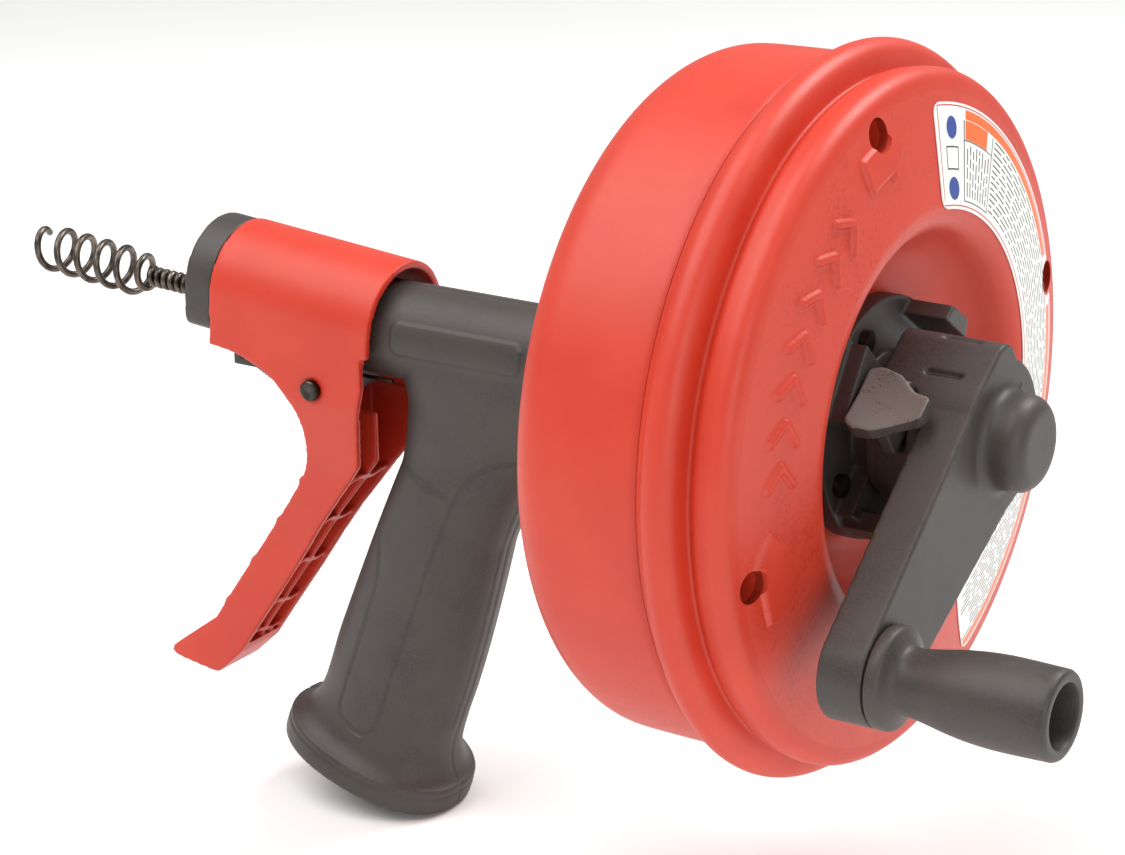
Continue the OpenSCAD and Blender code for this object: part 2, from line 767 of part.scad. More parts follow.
module trigger() {
    pocket_x = 3.2;
    rib_t = 1.6;
    color(RED) difference() {
        union() {
            difference() {
                union() {
                    nose_up() translate([0, 0, shell_z]) {
                        bar_x(shell_x, shell_x + shell_len, shell_r);
                        block([shell_x, -shell_r, -6], [shell_x + shell_len, shell_r, 0]);
                    }
                    intersection() {
                        plate_y(-shell_r, shell_r) lever_outline();
                        plate_x(pin_x - 70, pin_x + 20) lever_front(0);
                    }
                }
                nose_up() translate([0, 0, shell_z]) {
                    bar_x(shell_x - 1, shell_x + shell_len + 1, shell_in_r);
                    block([shell_x - 1, -shell_in_r, -14], [shell_x + shell_len + 1, shell_in_r, 0]);
                }
                block([shell_x - 4, -shell_in_r, pin_z - 7.3], [pin_x + 30, shell_in_r, 0]);
                intersection() {
                    translate([pocket_x, 0, 0]) plate_y(-shell_r, shell_r) lever_outline();
                    plate_x(pin_x - 70, pin_x + 30) lever_front(shell_wall);
                    block([pin_x - 70, -shell_r, -105], [pin_x + 30, shell_r, 0]);
                }
            }
            // rib down the lever's middle, and ribs across it
            intersection() {
                plate_y(-rib_t / 2, rib_t / 2) translate([1.4, 0]) lever_outline();
                block([pin_x - 70, -shell_r, -106], [pin_x + 10, shell_r, -34]);
                plate_y(-shell_r, shell_r) lever_outline();
            }
            intersection() {
                plate_y(-shell_r, shell_r) lever_outline();
                plate_x(pin_x - 70, pin_x + 20) lever_front(1);
                for (k = [0:6]) translate([pin_x, 0, -40 - 10 * k])
                    block([-60, -shell_r, 0], [20, shell_r, rib_t]);
            }
            // webs that hold the pressure roller's axle
            nose_up() for (side = [-1, 1]) intersection() {
                block([roller_x + side * (web_half + web_t / 2) - web_t / 2, -9, roller_off - axle_r - 1.6],
                    [roller_x + side * (web_half + web_t / 2) + web_t / 2, 9, shell_r]);
                translate([0, 0, shell_z]) bar_x(shell_x, shell_x + shell_len, shell_r - 0.5);
            }
        }
        translate([pin_x, 0, pin_z]) bar_y(-30, 30, trigger_pin_r + run_gap);
        nose_up() at_roller(90, roller_off)
            bar_x(-web_half - web_t, web_half + web_t, axle_r + seat_gap / 2);
    }
}

module nose_ring() {
    arch_z = shell_z + 0.6;
    flat_z = -9.2;
    slot_z = -(pin_x - ring_x) * sin(trigger_rest_tilt);
    color(BLACK) nose_up() difference() {
        union() {
            intersection() {
                union() {
                    translate([0, 0, arch_z]) bar_x(ring_x, shell_x - face_gap, ring_arch_r);
                    block([ring_x, -ring_arch_r, flat_z], [shell_x - face_gap, ring_arch_r, arch_z]);
                }
                block([ring_x - 1, -ring_arch_r, flat_z], [shell_x, ring_arch_r, 40]);
            }
            // collar that seats in the shell's mouth
            translate([0, 0, shell_z]) intersection() {
                difference() {
                    bar_x(shell_x - 1, shell_x + 3.5, shell_in_r - seat_gap);
                    bar_x(shell_x - 0.5, shell_x + 5, shell_in_r - 2.2);
                }
                block([shell_x - 1, -shell_in_r, -4], [shell_x + 4, shell_in_r, 30]);
            }
        }
        bar_x(ring_x - 1, shell_x + 5, slot_r);
        translate([0, 0, slot_z]) bar_x(ring_x - 1, shell_x + 5, slot_r);
        block([ring_x - 1, -slot_r, slot_z], [shell_x + 5, slot_r, 0]);
    }
}

module upper_axle() {
    color(STEEL) nose_up() at_roller(90, roller_off)
        bar_x(-web_half - web_t / 2 - 0.4, web_half + web_t / 2 + 0.4, axle_r);
}

module upper_roller() {
    color("#b9b4a8") nose_up() at_roller(90, roller_off) roller();
}

// ---- crank ----

module in_crank() {
    rotate([crank_turn, 0, 0]) children();
}

// Window in the head for one latch
module latch_window() {
    block([latch_x - face_gap, 3.6 - face_gap, -head_r - 4],
        [latch_x + latch_t + face_gap, stem_y1 + face_gap, -11.5]);
}

module crank_arm() {
    corner = 6;
    color(BLACK) in_crank() difference() {
        union() {
            difference() {
                union() {
                    plate_x(arm_in_x, arm_out_x) taper_link(arm_root_r, arm_end_r, crank_throw);
                    bar_x(head_x, arm_out_x, head_r);
                    // squarer corner on the near side of the head
                    plate_x(head_x, arm_out_x) {
                        translate([-head_r + corner + 3, -head_r + corner]) circle(corner);
                        translate([-head_r + corner + 3, -head_r]) square([head_r - corner - 3, head_r]);
                        translate([-head_r + 3, -head_r + corner]) square([head_r - 3, head_r - corner]);
                    }
                }
                bar_x(head_x - 1, roof_x, head_in_r);
                plate_x(arm_in_x - 1, roof_x) intersection() {
                    taper_link(arm_root_r - head_wall, arm_end_r - head_wall, crank_throw);
                    translate([head_r, -30]) square([crank_throw - head_r - 11, 60]);
                }
            }
            bar_x(head_x + 2.3, roof_x + 1, core_r);
            // rib that the latch springs push on, and ribs along the arm
            block([latch_x, 0, -web_reach], [roof_x + 1, head_in_r + 1, web_reach]);
            block([arm_in_x + 1, head_r - 1, -1], [roof_x + 1, crank_throw, 1]);
            translate([0, crank_throw, 0]) bar_x(arm_in_x, arm_out_x, knob_axle_r + 5);
            spin(concat([[0, arm_out_x - 1], [dome_r + 1.2, arm_out_x - 1],
                [dome_r + 1.2, arm_out_x], [dome_r, arm_out_x + 1.2]],
                arc(dome_r - 6, arm_out_x + dome_h - 6, 6, 0, 90, 6), [[0, arm_out_x + dome_h]]));
        }
        hex_x(head_x - 1, shank_len + 1, shank_af + 2 * run_gap);
        translate([0, crank_throw, 0]) {
            bar_x(arm_in_x - 1, arm_out_x + 1, knob_axle_r + seat_gap / 2);
            hex_x(arm_in_x - 1, arm_in_x + 4.4, 12.2);
        }
        latch_window();
        mirror([0, 0, 1]) latch_window();
    }
}

module knob_axle() {
    color(STEEL) in_crank() translate([0, crank_throw, 0]) {
        bar_x(arm_in_x + 0.6, knob_floor_x + face_gap, knob_axle_r);
        bar_x(knob_floor_x + face_gap, knob_floor_x + face_gap + 3, 6.4);
    }
}

module knob_nut() {
    color(STEEL) in_crank() translate([0, crank_throw, 0]) difference() {
        hex_x(arm_in_x + 0.4, arm_in_x + 4.35, 12.1);
        bar_x(arm_in_x - 1, arm_in_x + 6, knob_axle_r + seat_gap / 2);
    }
}

module crank_knob() {
    x1 = knob_end_x;
    color(BLACK) in_crank() translate([0, crank_throw, 0]) difference() {
        spin(concat(
            [[0, knob_x], [arm_end_r, knob_x], [arm_end_r, knob_x + 3.6], [arm_end_r - 0.9, knob_x + 4.5],
                [9.6, knob_x + 5.6], [8.7, knob_x + 8], [9.3, knob_x + 13], [10.6, knob_x + 20],
                [knob_r - 0.3, knob_x + 27], [knob_r, knob_x + 31]],
            [[knob_r - 0.3, x1 - 1], [knob_r - 1.3, x1], [0, x1]]));
        bar_x(knob_x - 1, x1 - 2, knob_axle_r + run_gap);
        bar_x(knob_floor_x, x1 + 1, knob_bore_r);
    }
}

// One latch, on the arm's -Z side: finger pad, stem through the head and hook under the hub's lip
module latch() {
    difference() {
        block([head_x + 0.4, 3, -pad_out], [head_x + 20, 23, -pad_in]);
        // hollow for the finger
        translate([head_x + 22, 13, -pad_out - 10]) bar_y(-20, 20, 16);
    }
    block([latch_x, 3.6, -pad_in - 1], [latch_x + latch_t, stem_y1, -14]);
    block([latch_x, -hook_half, -17.4], [latch_x + latch_t, 14, -14]);
    block([latch_x, -hook_half, -17.4], [latch_x + latch_t, hook_half, -leg_in]);
    block([head_x + 0.4, -hook_half, -leg_out], [latch_x + 0.5, hook_half, -leg_in]);
    block([head_x + 0.4, -hook_half, -hook_out], [hub_ring_h - lip_t - face_gap, hook_half, -leg_in]);
}

module latch_near() {
    color(BLACK) in_crank() latch();
}

module latch_far() {
    color(BLACK) in_crank() mirror([0, 0, 1]) latch();
}

module latch_springs() {
    color(STEEL) in_crank() for (side = [-1, 1])
        translate([latch_x + latch_t / 2, spring_y, side > 0 ? web_reach : -14]) difference() {
            cylinder(h = 14 - web_reach, r = latch_spring_r, $fn = 32);
            translate([0, 0, -1]) cylinder(h = 20, r = latch_spring_r - 0.7, $fn = 32);
        }
}

grip_left();
grip_right();
housing_screws();
guide_tube();
feed_head();
lower_axles();
trigger_pin();
pin_clip();
trigger_spring();
thrust_washer();
retaining_ring();
drum_front();
drum_rear();
drum_bush();
drum_screws();
drive_hub();
drive_shank();
hub_screws();
rating_label();
cable_coil();
cable_inlet();
cable_clip();
trigger();
nose_ring();
upper_axle();
upper_roller();
lower_roller_near();
lower_roller_far();
crank_arm();
knob_axle();
knob_nut();
latch_springs();
latch_near();
latch_far();
crank_knob();
cable_lead();
bulb_auger();
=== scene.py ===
import math
import random

import bmesh
import bpy
import numpy as np
from mathutils import Matrix, Vector


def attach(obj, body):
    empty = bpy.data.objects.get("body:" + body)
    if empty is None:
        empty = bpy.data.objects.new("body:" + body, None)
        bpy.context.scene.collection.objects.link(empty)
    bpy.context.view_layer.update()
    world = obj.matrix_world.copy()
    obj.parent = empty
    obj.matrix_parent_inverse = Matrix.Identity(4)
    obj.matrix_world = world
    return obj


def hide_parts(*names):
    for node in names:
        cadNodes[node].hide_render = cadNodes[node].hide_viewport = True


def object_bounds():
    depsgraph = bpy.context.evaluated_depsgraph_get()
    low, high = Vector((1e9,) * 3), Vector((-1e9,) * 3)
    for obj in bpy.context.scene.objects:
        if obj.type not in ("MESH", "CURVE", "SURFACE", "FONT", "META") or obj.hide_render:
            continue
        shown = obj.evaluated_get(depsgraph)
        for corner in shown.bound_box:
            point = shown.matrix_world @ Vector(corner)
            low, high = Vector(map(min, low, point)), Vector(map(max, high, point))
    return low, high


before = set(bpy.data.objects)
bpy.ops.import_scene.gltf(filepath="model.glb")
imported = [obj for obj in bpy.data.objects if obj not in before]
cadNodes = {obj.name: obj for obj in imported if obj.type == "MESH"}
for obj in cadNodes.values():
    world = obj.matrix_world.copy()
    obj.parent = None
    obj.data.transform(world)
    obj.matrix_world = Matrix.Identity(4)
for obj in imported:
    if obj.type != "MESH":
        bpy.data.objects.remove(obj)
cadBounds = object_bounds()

mm = 0.001
scene = bpy.context.scene


def linearColour(hexValue):  # sRGB hex to the linear colour that shaders want
    parts = [int(hexValue[i:i + 2], 16) / 255 for i in (1, 3, 5)]
    return tuple(p / 12.92 if p <= 0.04045 else ((p + 0.055) / 1.055) ** 2.4 for p in parts) + (1.0,)


def addNode(tree, kind, settings=None, links=None):  # settings go to sockets by name or number, else to the node
    node = tree.nodes.new(kind)
    plain = {k: v for k, v in (settings or {}).items() if isinstance(k, str) and k not in node.inputs}
    for key, value in plain.items():
        setattr(node, key, value)
    for key, value in (settings or {}).items():
        if key not in plain:
            node.inputs[key].default_value = value
    for key, source in (links or {}).items():
        tree.links.new(source, node.inputs[key])
    return node


def newMesh(name, points, faces):  # points in millimetres
    mesh = bpy.data.meshes.new(name)
    mesh.from_pydata([tuple(c * mm for c in p) for p in points], [], faces)
    mesh.validate()
    obj = bpy.data.objects.new(name, mesh)
    scene.collection.objects.link(obj)
    return obj


def outward(obj):  # makes every face look out of its closed shell
    bm = bmesh.new()
    bm.from_mesh(obj.data)
    bmesh.ops.remove_doubles(bm, verts=bm.verts, dist=1e-6)
    bmesh.ops.recalc_face_normals(bm, faces=bm.faces)
    bm.to_mesh(obj.data)
    bm.free()
    return obj


def smoothFaces(obj, angle=None):
    obj.data.polygons.foreach_set("use_smooth", [True] * len(obj.data.polygons))
    if angle is not None:
        obj.data.set_sharp_from_angle(angle=math.radians(angle))
    obj.data.update()
    return obj


def settle(obj):  # applies the modifiers
    graph = bpy.context.evaluated_depsgraph_get()
    graph.update()
    mesh = bpy.data.meshes.new_from_object(obj.evaluated_get(graph))
    obj.modifiers.clear()
    old = obj.data
    obj.data = mesh
    bpy.data.meshes.remove(old)
    return obj


def joined(name, parts):
    base = parts[0]
    if len(parts) > 1:
        with bpy.context.temp_override(active_object=base, selected_editable_objects=parts, object=base):
            bpy.ops.object.join()
    base.name = name
    base.data.name = name
    return base


def boolean(base, tool, operation):
    mod = base.modifiers.new("cut", "BOOLEAN")
    mod.operation = operation
    mod.solver = "EXACT"
    mod.object = tool
    settle(base)
    bpy.data.objects.remove(tool)
    return base


def assembled(base, adds=(), cuts=()):  # one solid from solids
    for tool in adds:
        boolean(base, tool, "UNION")
    for tool in cuts:
        boolean(base, tool, "DIFFERENCE")
    return base


def moulded(obj, voxel, rounds):  # rounds the edges as a mould and its draft leave them
    mod = obj.modifiers.new("even", "REMESH")
    mod.mode = "VOXEL"
    mod.voxel_size = voxel * mm
    mod.use_smooth_shade = True
    soft = obj.modifiers.new("round", "SMOOTH")
    soft.factor = 0.5
    soft.iterations = rounds
    settle(obj)
    return smoothFaces(obj)


def vertexArray(obj):  # positions in millimetres
    co = np.empty(len(obj.data.vertices) * 3, np.float64)
    obj.data.vertices.foreach_get("co", co)
    return co.reshape(-1, 3) / mm


def normalArray(obj):
    no = np.empty(len(obj.data.vertices) * 3, np.float64)
    obj.data.vertices.foreach_get("normal", no)
    return no.reshape(-1, 3)


def setVertices(obj, points):
    obj.data.vertices.foreach_set("co", (points * mm).astype(np.float32).ravel())
    obj.data.update()


def prism(name, outline, low, high, axis):  # an outline in the two other axes, drawn out along axis
    def place(u, v, w):
        return {"x": (w, u, v), "y": (u, w, v), "z": (u, v, w)}[axis]
    n = len(outline)
    points = [place(u, v, low) for u, v in outline] + [place(u, v, high) for u, v in outline]
    faces = [[i, (i + 1) % n, n + (i + 1) % n, n + i] for i in range(n)]
    faces += [list(range(n)), [n + i for i in reversed(range(n))]]
    return outward(newMesh(name, points, faces))


def block(name, low, high):
    outline = [(low[1], low[2]), (high[1], low[2]), (high[1], high[2]), (low[1], high[2])]
    return prism(name, outline, low[0], high[0], "x")


def ringPoints(radius, count, centre=(0, 0), start=0.0, end=360.0, closed=True):
    n = count if closed else count - 1
    return [(centre[0] + radius * math.cos(math.radians(start + (end - start) * i / n)),
             centre[1] + radius * math.sin(math.radians(start + (end - start) * i / n))) for i in range(count)]


def rod(name, radius, low, high, axis="x", centre=(0, 0), count=48):
    return prism(name, ringPoints(radius, count, centre), low, high, axis)


def spun(name, profile, steps=96, closed=True):  # profile of (x, radius) turned about the X axis
    points, faces, rows = [], [], []
    for x, r in profile:
        if r < 1e-6:
            rows.append([len(points)] * steps)
            points.append((x, 0, 0))
        else:
            rows.append(list(range(len(points), len(points) + steps)))
            points += [(x, r * math.cos(2 * math.pi * k / steps), r * math.sin(2 * math.pi * k / steps))
                       for k in range(steps)]
    pairs = list(zip(rows, rows[1:])) + ([(rows[-1], rows[0])] if closed else [])
    for a, b in pairs:
        for k in range(steps):
            face = [a[k], a[(k + 1) % steps], b[(k + 1) % steps], b[k]]
            face = list(dict.fromkeys(face))
            if len(face) > 2:
                faces.append(face)
    return newMesh(name, points, faces)


def loft(name, rings):  # closed skin over rings of points, capped at both ends
    n = len(rings[0])
    points = [p for ring in rings for p in ring]
    faces = [[j * n + i, j * n + (i + 1) % n, (j + 1) * n + (i + 1) % n, (j + 1) * n + i]
             for j in range(len(rings) - 1) for i in range(n)]
    faces += [list(range(n)), [(len(rings) - 1) * n + i for i in reversed(range(n))]]
    return outward(newMesh(name, points, faces))


def tube(name, path, radius, sides=12):  # round wire along a list of points
    path = np.array(path, float)
    radii = np.full(len(path), radius) if np.isscalar(radius) else np.array(radius, float)
    along = np.gradient(path, axis=0)
    along /= np.linalg.norm(along, axis=1)[:, None]
    side = np.cross(along[0], (0.3, 0.5, 0.81))
    rings = []
    for p, d, r in zip(path, along, radii):
        side = side - d * (side @ d)
        side /= np.linalg.norm(side)
        up = np.cross(d, side)
        rings.append([tuple(p + r * (math.cos(a) * side + math.sin(a) * up))
                      for a in (2 * math.pi * k / sides for k in range(sides))])
    return loft(name, rings)


def rounded(outline, radius, steps=5):  # outline with its corners rounded
    made = []
    pts = [np.array(p, float) for p in outline]
    for i, p in enumerate(pts):
        a, b = pts[i - 1] - p, pts[(i + 1) % len(pts)] - p
        la, lb = np.linalg.norm(a), np.linalg.norm(b)
        half = math.acos(max(-1, min(1, a @ b / la / lb))) / 2
        cut = min(radius / max(math.tan(half), 1e-3), la * 0.48, lb * 0.48)
        start, end = p + a / la * cut, p + b / lb * cut
        for k in range(steps + 1):
            t = k / steps
            made.append(tuple((1 - t) ** 2 * start + 2 * t * (1 - t) * p + t * t * end))
    return made


def curveThrough(points, steps=8):  # smooth open curve through the points
    pts = [np.array(p, float) for p in points]
    pts = [2 * pts[0] - pts[1]] + pts + [2 * pts[-1] - pts[-2]]
    made = []
    for i in range(1, len(pts) - 2):
        a, b, c, d = pts[i - 1:i + 3]
        for k in range(steps):
            t = k / steps
            made.append(0.5 * (2 * b + (c - a) * t + (2 * a - 5 * b + 4 * c - d) * t * t
                               + (3 * b - a - 3 * c + d) * t ** 3))
    return np.array(made + [pts[-2]])


def softProfile(points, step, blur):  # evenly spaced points along a profile, its corners eased
    pts = np.array(points, float)
    run = np.concatenate([[0], np.cumsum(np.linalg.norm(np.diff(pts, axis=0), axis=1))])
    at = np.linspace(0, run[-1], max(3, int(run[-1] / step)))
    even = np.stack([np.interp(at, run, pts[:, k]) for k in (0, 1)], 1)
    reach = max(1, int(3 * blur / step))
    weights = np.exp(-0.5 * (np.arange(-reach, reach + 1) * step / blur) ** 2)
    weights /= weights.sum()
    padded = np.concatenate([2 * even[0] - even[reach:0:-1], even, 2 * even[-1] - even[-2:-reach - 2:-1]])
    return np.stack([np.convolve(padded[:, k], weights, "valid") for k in (0, 1)], 1)


def ease(value, low, high):
    t = np.clip((value - low) / (high - low), 0, 1)
    return t * t * (3 - 2 * t)


def distanceTo(points, line, closed=False):  # from many 2D points to a line of 2D points
    line = np.array(line, float)
    ends = np.roll(line, -1, axis=0) if closed else line[1:]
    starts = line if closed else line[:-1]
    best = np.full(len(points), 1e9)
    for a, b in zip(starts, ends):
        d = b - a
        t = np.clip(((points - a) @ d) / max(d @ d, 1e-9), 0, 1)
        best = np.minimum(best, np.linalg.norm(points - a - t[:, None] * d, axis=1))
    return best


def inside(points, outline):
    poly = np.array(outline, float)
    hit = np.zeros(len(points), bool)
    for (ax, ay), (bx, by) in zip(poly, np.roll(poly, -1, axis=0)):
        if ay == by:
            continue
        cross = (ay > points[:, 1]) != (by > points[:, 1])
        hit ^= cross & (points[:, 0] < (bx - ax) * (points[:, 1] - ay) / (by - ay) + ax)
    return hit


def signedTo(points, outline):  # below zero inside the outline
    away = distanceTo(points, outline, True)
    return np.where(inside(points, outline), -away, away)


def turned(matrix, *objs):
    for obj in objs:
        obj.data.transform(matrix)
        if matrix.determinant() < 0:
            obj.data.flip_normals()
        obj.data.update()
    return objs[0]


def finishPiece(obj, material, body, *nodes, slot=None):
    if material is not None:
        obj.data.materials.clear()
        obj.data.materials.append(material)
    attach(obj, body)
    if nodes:
        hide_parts(*nodes)
    return obj


def newMaterial(name):
    material = bpy.data.materials.new(name)
    material.use_nodes = True
    tree = material.node_tree
    tree.nodes.clear()
    shader = addNode(tree, "ShaderNodeBsdfPrincipled")
    addNode(tree, "ShaderNodeOutputMaterial", links={"Surface": shader.outputs["BSDF"]})
    where = addNode(tree, "ShaderNodeTexCoord")
    return material, tree, shader, where.outputs["Object"]


def mouldedPlastic(name, values):  # injection moulded: broad soft gloss over the grain of the mould
    material, tree, shader, where = newMaterial(name)
    shader.inputs["IOR"].default_value = values["ior"]
    shader.inputs["Specular IOR Level"].default_value = values["specular"]
    clouds = addNode(tree, "ShaderNodeTexNoise", {"Scale": 1 / (values["cloud"] * mm), "Detail": 3.0},
                     {"Vector": where})
    grain = addNode(tree, "ShaderNodeTexNoise", {"Scale": 1 / (values["grain"] * mm), "Detail": 2.0},
                    {"Vector": where})
    mixed = addNode(tree, "ShaderNodeMath", {"operation": "MULTIPLY_ADD", 1: values["grainTint"], 2: 0.0},
                    {0: grain.outputs["Fac"]})
    tint = addNode(tree, "ShaderNodeMath", {"operation": "ADD"},
                   {0: clouds.outputs["Fac"], 1: mixed.outputs[0]})
    ramp = addNode(tree, "ShaderNodeValToRGB", links={"Fac": tint.outputs[0]})
    middle = 0.5 + 0.5 * values["grainTint"]
    ramp.color_ramp.elements[0].position = middle - values["spread"]
    ramp.color_ramp.elements[0].color = linearColour(values["dark"])
    ramp.color_ramp.elements[1].position = middle + values["spread"]
    ramp.color_ramp.elements[1].color = linearColour(values["light"])
    tree.links.new(ramp.outputs["Color"], shader.inputs["Base Color"])
    rough = addNode(tree, "ShaderNodeMapRange", {"From Min": 0.3, "From Max": 0.7,
                                                 "To Min": values["rough"] - 0.05,
                                                 "To Max": values["rough"] + 0.06},
                    {"Value": grain.outputs["Fac"]})
    tree.links.new(rough.outputs["Result"], shader.inputs["Roughness"])
    bump = addNode(tree, "ShaderNodeBump", {"Strength": values["bump"], "Distance": values["depth"] * mm},
                   {"Height": grain.outputs["Fac"]})
    tree.links.new(bump.outputs["Normal"], shader.inputs["Normal"])
    return material


def workedSteel(name, values):  # metal that keeps the marks of drawing, turning or rolling
    material, tree, shader, where = newMaterial(name)
    shader.inputs["Metallic"].default_value = 1.0
    marks = addNode(tree, "ShaderNodeMapping", {"Scale": values["stretch"]}, {"Vector": where})
    lines = addNode(tree, "ShaderNodeTexNoise", {"Scale": 1 / (values["mark"] * mm), "Detail": 4.0},
                    {"Vector": marks.outputs["Vector"]})
    stain = addNode(tree, "ShaderNodeTexNoise", {"Scale": 1 / (values["stain"] * mm), "Detail": 5.0},
                    {"Vector": where})
    ramp = addNode(tree, "ShaderNodeValToRGB", links={"Fac": stain.outputs["Fac"]})
    ramp.color_ramp.elements[0].position, ramp.color_ramp.elements[1].position = 0.35, 0.65
    ramp.color_ramp.elements[0].color = linearColour(values["dark"])
    ramp.color_ramp.elements[1].color = linearColour(values["light"])
    tree.links.new(ramp.outputs["Color"], shader.inputs["Base Color"])
    rough = addNode(tree, "ShaderNodeMapRange", {"From Min": 0.3, "From Max": 0.7,
                                                 "To Min": values["rough"] - 0.07,
                                                 "To Max": values["rough"] + 0.1},
                    {"Value": lines.outputs["Fac"]})
    tree.links.new(rough.outputs["Result"], shader.inputs["Roughness"])
    bump = addNode(tree, "ShaderNodeBump", {"Strength": 0.25, "Distance": 0.03 * mm},
                   {"Height": lines.outputs["Fac"]})
    tree.links.new(bump.outputs["Normal"], shader.inputs["Normal"])
    return material


def printedFilm(name, colour, rough):  # screen print on vinyl: flat, with a faint orange peel
    material, tree, shader, where = newMaterial(name)
    peel = addNode(tree, "ShaderNodeTexNoise", {"Scale": 1 / (1.4 * mm), "Detail": 2.0}, {"Vector": where})
    ramp = addNode(tree, "ShaderNodeValToRGB", links={"Fac": peel.outputs["Fac"]})
    base = linearColour(colour)
    ramp.color_ramp.elements[0].color = tuple(c * 0.96 for c in base[:3]) + (1,)
    ramp.color_ramp.elements[1].color = base
    tree.links.new(ramp.outputs["Color"], shader.inputs["Base Color"])
    shader.inputs["Roughness"].default_value = rough
    bump = addNode(tree, "ShaderNodeBump", {"Strength": 0.1, "Distance": 0.02 * mm}, {"Height": peel.outputs["Fac"]})
    tree.links.new(bump.outputs["Normal"], shader.inputs["Normal"])
    return material


# Red ABS from a polished and blasted mould: even satin that spreads a highlight wide
redSatin = mouldedPlastic("redAbsSatin", {
    "dark": "#C4331D", "light": "#CC3B24", "ior": 1.53, "specular": 0.45, "rough": 0.44,
    "cloud": 22, "grain": 0.7, "grainTint": 0.25, "spread": 0.2, "bump": 0.2, "depth": 0.05})
# The same ABS from a spark-eroded mould wall: a pebbled skin, drawn a little coarser so that it shows
redPebbled = mouldedPlastic("redAbsSparkEroded", {
    "dark": "#BC2F1A", "light": "#CC3D28", "ior": 1.53, "specular": 0.5, "rough": 0.42,
    "cloud": 22, "grain": 1.1, "grainTint": 1.0, "spread": 0.3, "bump": 0.9, "depth": 0.12})
# Glass-filled nylon: warm near-black, dull, with a fine chalky speckle
blackNylon = mouldedPlastic("blackNylonGlassFilled", {
    "dark": "#2E2A27", "light": "#3E3834", "ior": 1.53, "specular": 0.5, "rough": 0.5,
    "cloud": 14, "grain": 0.6, "grainTint": 1.0, "spread": 0.3, "bump": 0.35, "depth": 0.1})
# Thumb faces of the nylon latches, blasted coarser for grip: paler and sandier
blackBlasted = mouldedPlastic("blackNylonBlasted", {
    "dark": "#4A4541", "light": "#746D67", "ior": 1.53, "specular": 0.4, "rough": 0.66,
    "cloud": 6, "grain": 0.55, "grainTint": 1.4, "spread": 0.35, "bump": 0.7, "depth": 0.16})
# Acetal bush: milky and waxy
acetal = mouldedPlastic("acetalNatural", {
    "dark": "#C3BDB0", "light": "#D2CDC2", "ior": 1.48, "specular": 0.5, "rough": 0.35,
    "cloud": 12, "grain": 0.8, "grainTint": 0.2, "spread": 0.25, "bump": 0.1, "depth": 0.04})
# Drawn spring wire, oiled: dark grey with brown film in the hollows
oiledWire = workedSteel("springWireOiled", {
    "dark": "#463F39", "light": "#756C63", "rough": 0.34, "mark": 0.6, "stain": 3.5, "stretch": (1, 1, 1)})
# Cold-drawn bar for the shank and the tube: fine lines along the drum's axis
drawnSteel = workedSteel("steelColdDrawn", {
    "dark": "#8A8884", "light": "#B4B1AB", "rough": 0.3, "mark": 0.7, "stain": 9, "stretch": (0.08, 1, 1)})
# Turned and zinc-plated hardware: pale, a little blue
zincSteel = workedSteel("steelZincPlated", {
    "dark": "#9A9DA0", "light": "#C6C8CA", "rough": 0.28, "mark": 0.5, "stain": 4, "stretch": (1, 1, 1)})
# Blackened screws at the bottom of the drum's holes
blackScrew = workedSteel("steelBlackened", {
    "dark": "#2E2B29", "light": "#57524D", "rough": 0.4, "mark": 0.5, "stain": 3, "stretch": (1, 1, 1)})
labelWhite = printedFilm("vinylWhite", "#F2F1ED", 0.32)
labelOrange = printedFilm("inkOrange", "#EE6A22", 0.35)
labelRed = printedFilm("inkRed", "#C8281C", 0.35)
labelInk = printedFilm("inkGrey", "#4A4744", 0.4)
labelBlue = printedFilm("inkBlue", "#2B4796", 0.35)
print("materials made")


drum = {
    "radius": 92.6, "frontX": -59.0, "seamX": -18.0, "rimX": 13.6, "frontEdge": 13.5,
    "beadX": -11.0, "beadRound": 4.9, "beadR": 98.0, "lipR": 93.1, "valleyR": 89.2, "valleyX": -5.2, "sideR": 92.0,
    "edgeX": 1.8, "edgeR": 4.7, "boreR": 14.0,
    "screwR": 82.7, "screwTurn": 13.0, "recessR": 4.4, "recessFloorX": -12.0,
    "steps": 1080, "grid": 0.55, "reliefHeight": 1.15, "reliefEdge": 0.7,
}


def arcProfile(centreX, centreR, r, start, end, count):  # angle 0 points outwards, 90 to the rear
    return [(centreX + r * math.sin(math.radians(start + (end - start) * i / (count - 1))),
             centreR + r * math.cos(math.radians(start + (end - start) * i / (count - 1)))) for i in range(count)]


